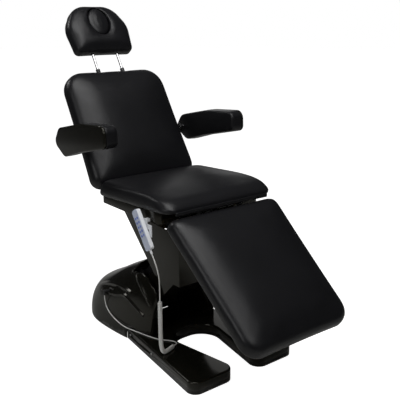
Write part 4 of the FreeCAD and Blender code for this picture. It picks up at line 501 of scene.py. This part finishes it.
# Gap roll: a soft roll of the same leather between the seat and the leg section, foam cord in a
# sewn sleeve, stapled along the front edge of the seat's board.
roll_low, roll_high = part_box("front_strip")
roll_wide, roll_deep, roll_tall, roll_proud = 0.516, 0.0095, 0.0185, 0.0008
roll_y = (roll_low.y + roll_high.y) / 2
made = bmesh.new()
bmesh.ops.create_cube(made, size=1)
bmesh.ops.scale(made, vec=(roll_wide, roll_deep, roll_tall), verts=made.verts)
lengthwise = [edge for edge in made.edges
              if abs(edge.verts[0].co.x - edge.verts[1].co.x) > roll_wide / 2]
bmesh.ops.subdivide_edges(made, edges=lengthwise, cuts=40, use_grid_fill=True)
square_edges = [edge for edge in made.edges if edge.calc_face_angle() > 1]
bmesh.ops.bevel(made, geom=square_edges, offset=0.0042, segments=4, profile=0.5, affect="EDGES",
                material=-1)
for vert in made.verts:
    vert.co.y += 0.0006 * math.sin(vert.co.x * 61) + roll_y + roll_proud
    vert.co.z += 0.0007 * math.sin(vert.co.x * 43 + 1) + roll_high.z - roll_tall / 2
roll_mesh = bpy.data.meshes.new("gap_roll")
made.to_mesh(roll_mesh)
made.free()
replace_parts(link_piece("gap_roll", roll_mesh, leather, "carriage"), "front_strip")

# Back section: a frame of square tube with hinge lugs and the headrest's guides, a plywood board
# screwed to it, and a tall leather pad made like the seat's.
coat(powder, "back_frame", "headrest_guides")
coat(plywood, "back_board")
coat(turned, "armrest_bolts")
back_facing = (0, -0.8536, 0.5210)
cushion("back_pad", "back_cushion", "back", back_facing, 0.016, **broad_pad)

# Headrest: a small arched pad on its own board, with two polished posts that slide in the guides.
# Its face hole holds an oval leather plug that pulls out by hand.
coat(polished, "headrest_posts")
coat(plywood, "headrest_board")
cushion("headrest_pad", "headrest_cushion", "headrest", back_facing, 0.014,
        voxel=0.0045, round_by=0.014, start_in=0.002, swell=0.007)
cushion("plug_pad", "headrest_plug", "face_plug", back_facing, 0.02,
        voxel=0.0035, round_by=0.006, start_in=0.001, swell=0.003)

# Armrests: a leather pad inside a shell of gloss plastic, one bolt through each into a bracket on
# the back frame, about which the armrest folds up.
for hand, inward in (("left", -1), ("right", 1)):
    formed_cover(f"{hand}_arm_shell", f"{hand}_armrest_shell", f"{hand}_arm", 0.002)
    cushion(f"{hand}_arm_pad", f"{hand}_armrest_pad", f"{hand}_arm", (inward, 0, 0), 0.012,
            voxel=0.0045, round_by=0.012, start_in=0.001, swell=0.004)

# Leg section: a frame of square tube hinged under the seat's front edge, a plywood board screwed to
# it, and a long leather pad made like the seat's.
coat(powder, "leg_frame")
coat(plywood, "leg_board")
cushion("leg_pad", "leg_cushion", "leg", (0, -0.6361, 0.7716), 0.014, **broad_pad)

# Handset: a pale moulded shell with a blue keypad of ten keys. It hangs from a moulded hook beside
# the seat, on the sitter's right.
shell = grained("pale_shell", (0.78, 0.80, 0.83), (0.86, 0.88, 0.91), 0.38, 900, 0.0001)
keypad = grained("keypad_face", (0.50, 0.55, 0.68), (0.56, 0.61, 0.74), 0.35, 900, 0.0001)
keys = grained("blue_keys", (0.16, 0.22, 0.55), (0.20, 0.27, 0.62), 0.4, 900, 0.0001)
coat(shell, "handset_body", "handset_hook")
coat(keypad, "handset_face")
coat(keys, *[f"key_{number}" for number in range(1, 11)])

# The handset's cord: thin, limp and pale. From the handset it hangs to a close curled part, whose
# lower end lies on the base, and from there it runs back and climbs to its gland in the housing.
cord_across = 0.0052
pale_cord = Finish("pale_cord", Roughness=0.45)
pale_cord.feed(Base_Color=pale_cord.colours(pale_cord.noise(90), rgb(0.74, 0.74, 0.72),
                                            rgb(0.84, 0.84, 0.82)))


def cord_on(name, points, sides):
    """A cord on a NURBS line through the points, and the line that it follows."""
    curve = route_line(name, points)
    curve.bevel_depth, curve.bevel_resolution, curve.use_fill_caps = cord_across / 2, sides, True
    mesh = drawn_mesh(name, curve)
    mesh.name = name
    for face in mesh.polygons:
        face.use_smooth = True
    mesh.materials.clear()
    mesh.materials.append(pale_cord.material)
    cord = bpy.data.objects.new(name, mesh)
    bpy.context.scene.collection.objects.link(cord)
    return cord, read_line(name + "_line", points)


upper_route = [(-0.323, -0.2146, 0.5781), (-0.323, -0.232, 0.5536), (-0.3147, -0.2423, 0.5106),
               (-0.2965, -0.226, 0.4658), (-0.2783, -0.2022, 0.4185), (-0.27, -0.19, 0.3683),
               (-0.27, -0.19, 0.3383)]
upper, upper_line = cord_on("handset_cord", upper_route[::-1], 4)
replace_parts(upper, "cord_upper")
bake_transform(upper)

curl_route = [(-0.27, -0.19, 0.338), (-0.27, -0.19, 0.30), (-0.27, -0.19, 0.24),
              (-0.27, -0.19, 0.17), (-0.268, -0.1894, 0.115), (-0.252, -0.1835, 0.079),
              (-0.2305, -0.1758, 0.0712), (-0.20, -0.1648, 0.0709), (-0.1721, -0.1548, 0.0709)]
lower_route = [(-0.14, -0.1432, 0.0709), (-0.146, -0.1, 0.0665), (-0.18, -0.06, 0.0649),
               (-0.203, -0.005, 0.0649), (-0.216, 0.05, 0.0649), (-0.231, 0.103, 0.066),
               (-0.249, 0.155, 0.07), (-0.252, 0.213, 0.078), (-0.252, 0.264, 0.088),
               (-0.249, 0.315, 0.107), (-0.246, 0.345, 0.1397), (-0.246, 0.345, 0.1757)]
turns, end_turns, coil_radius = 47, 1.5, 0.0080
core = even(read_line("curl_core", curl_route), 0.00064)
cord_points, side = [], Vector((1, 0, 0))
for i, place in enumerate(core):
    ahead = (core[min(i + 1, len(core) - 1)] - core[max(i - 1, 0)]).normalized()
    side = (side - ahead * side.dot(ahead)).normalized()
    share = i / (len(core) - 1)
    opened = min(1, share * turns / end_turns, (1 - share) * turns / end_turns)
    wide = coil_radius * math.sin(math.pi / 2 * opened)
    angle = 2 * math.pi * turns * share
    cord_points.append(place + side * (math.cos(angle) * wide)
                       + ahead.cross(side) * (math.sin(angle) * wide))
cord_points += [Vector(place) for place in lower_route]
curled, curled_line = cord_on("curled_cord", cord_points[::-1], 2)
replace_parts(curled, "cord_curl", "cord_lower")
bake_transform(curled)

bpy.context.view_layer.update()
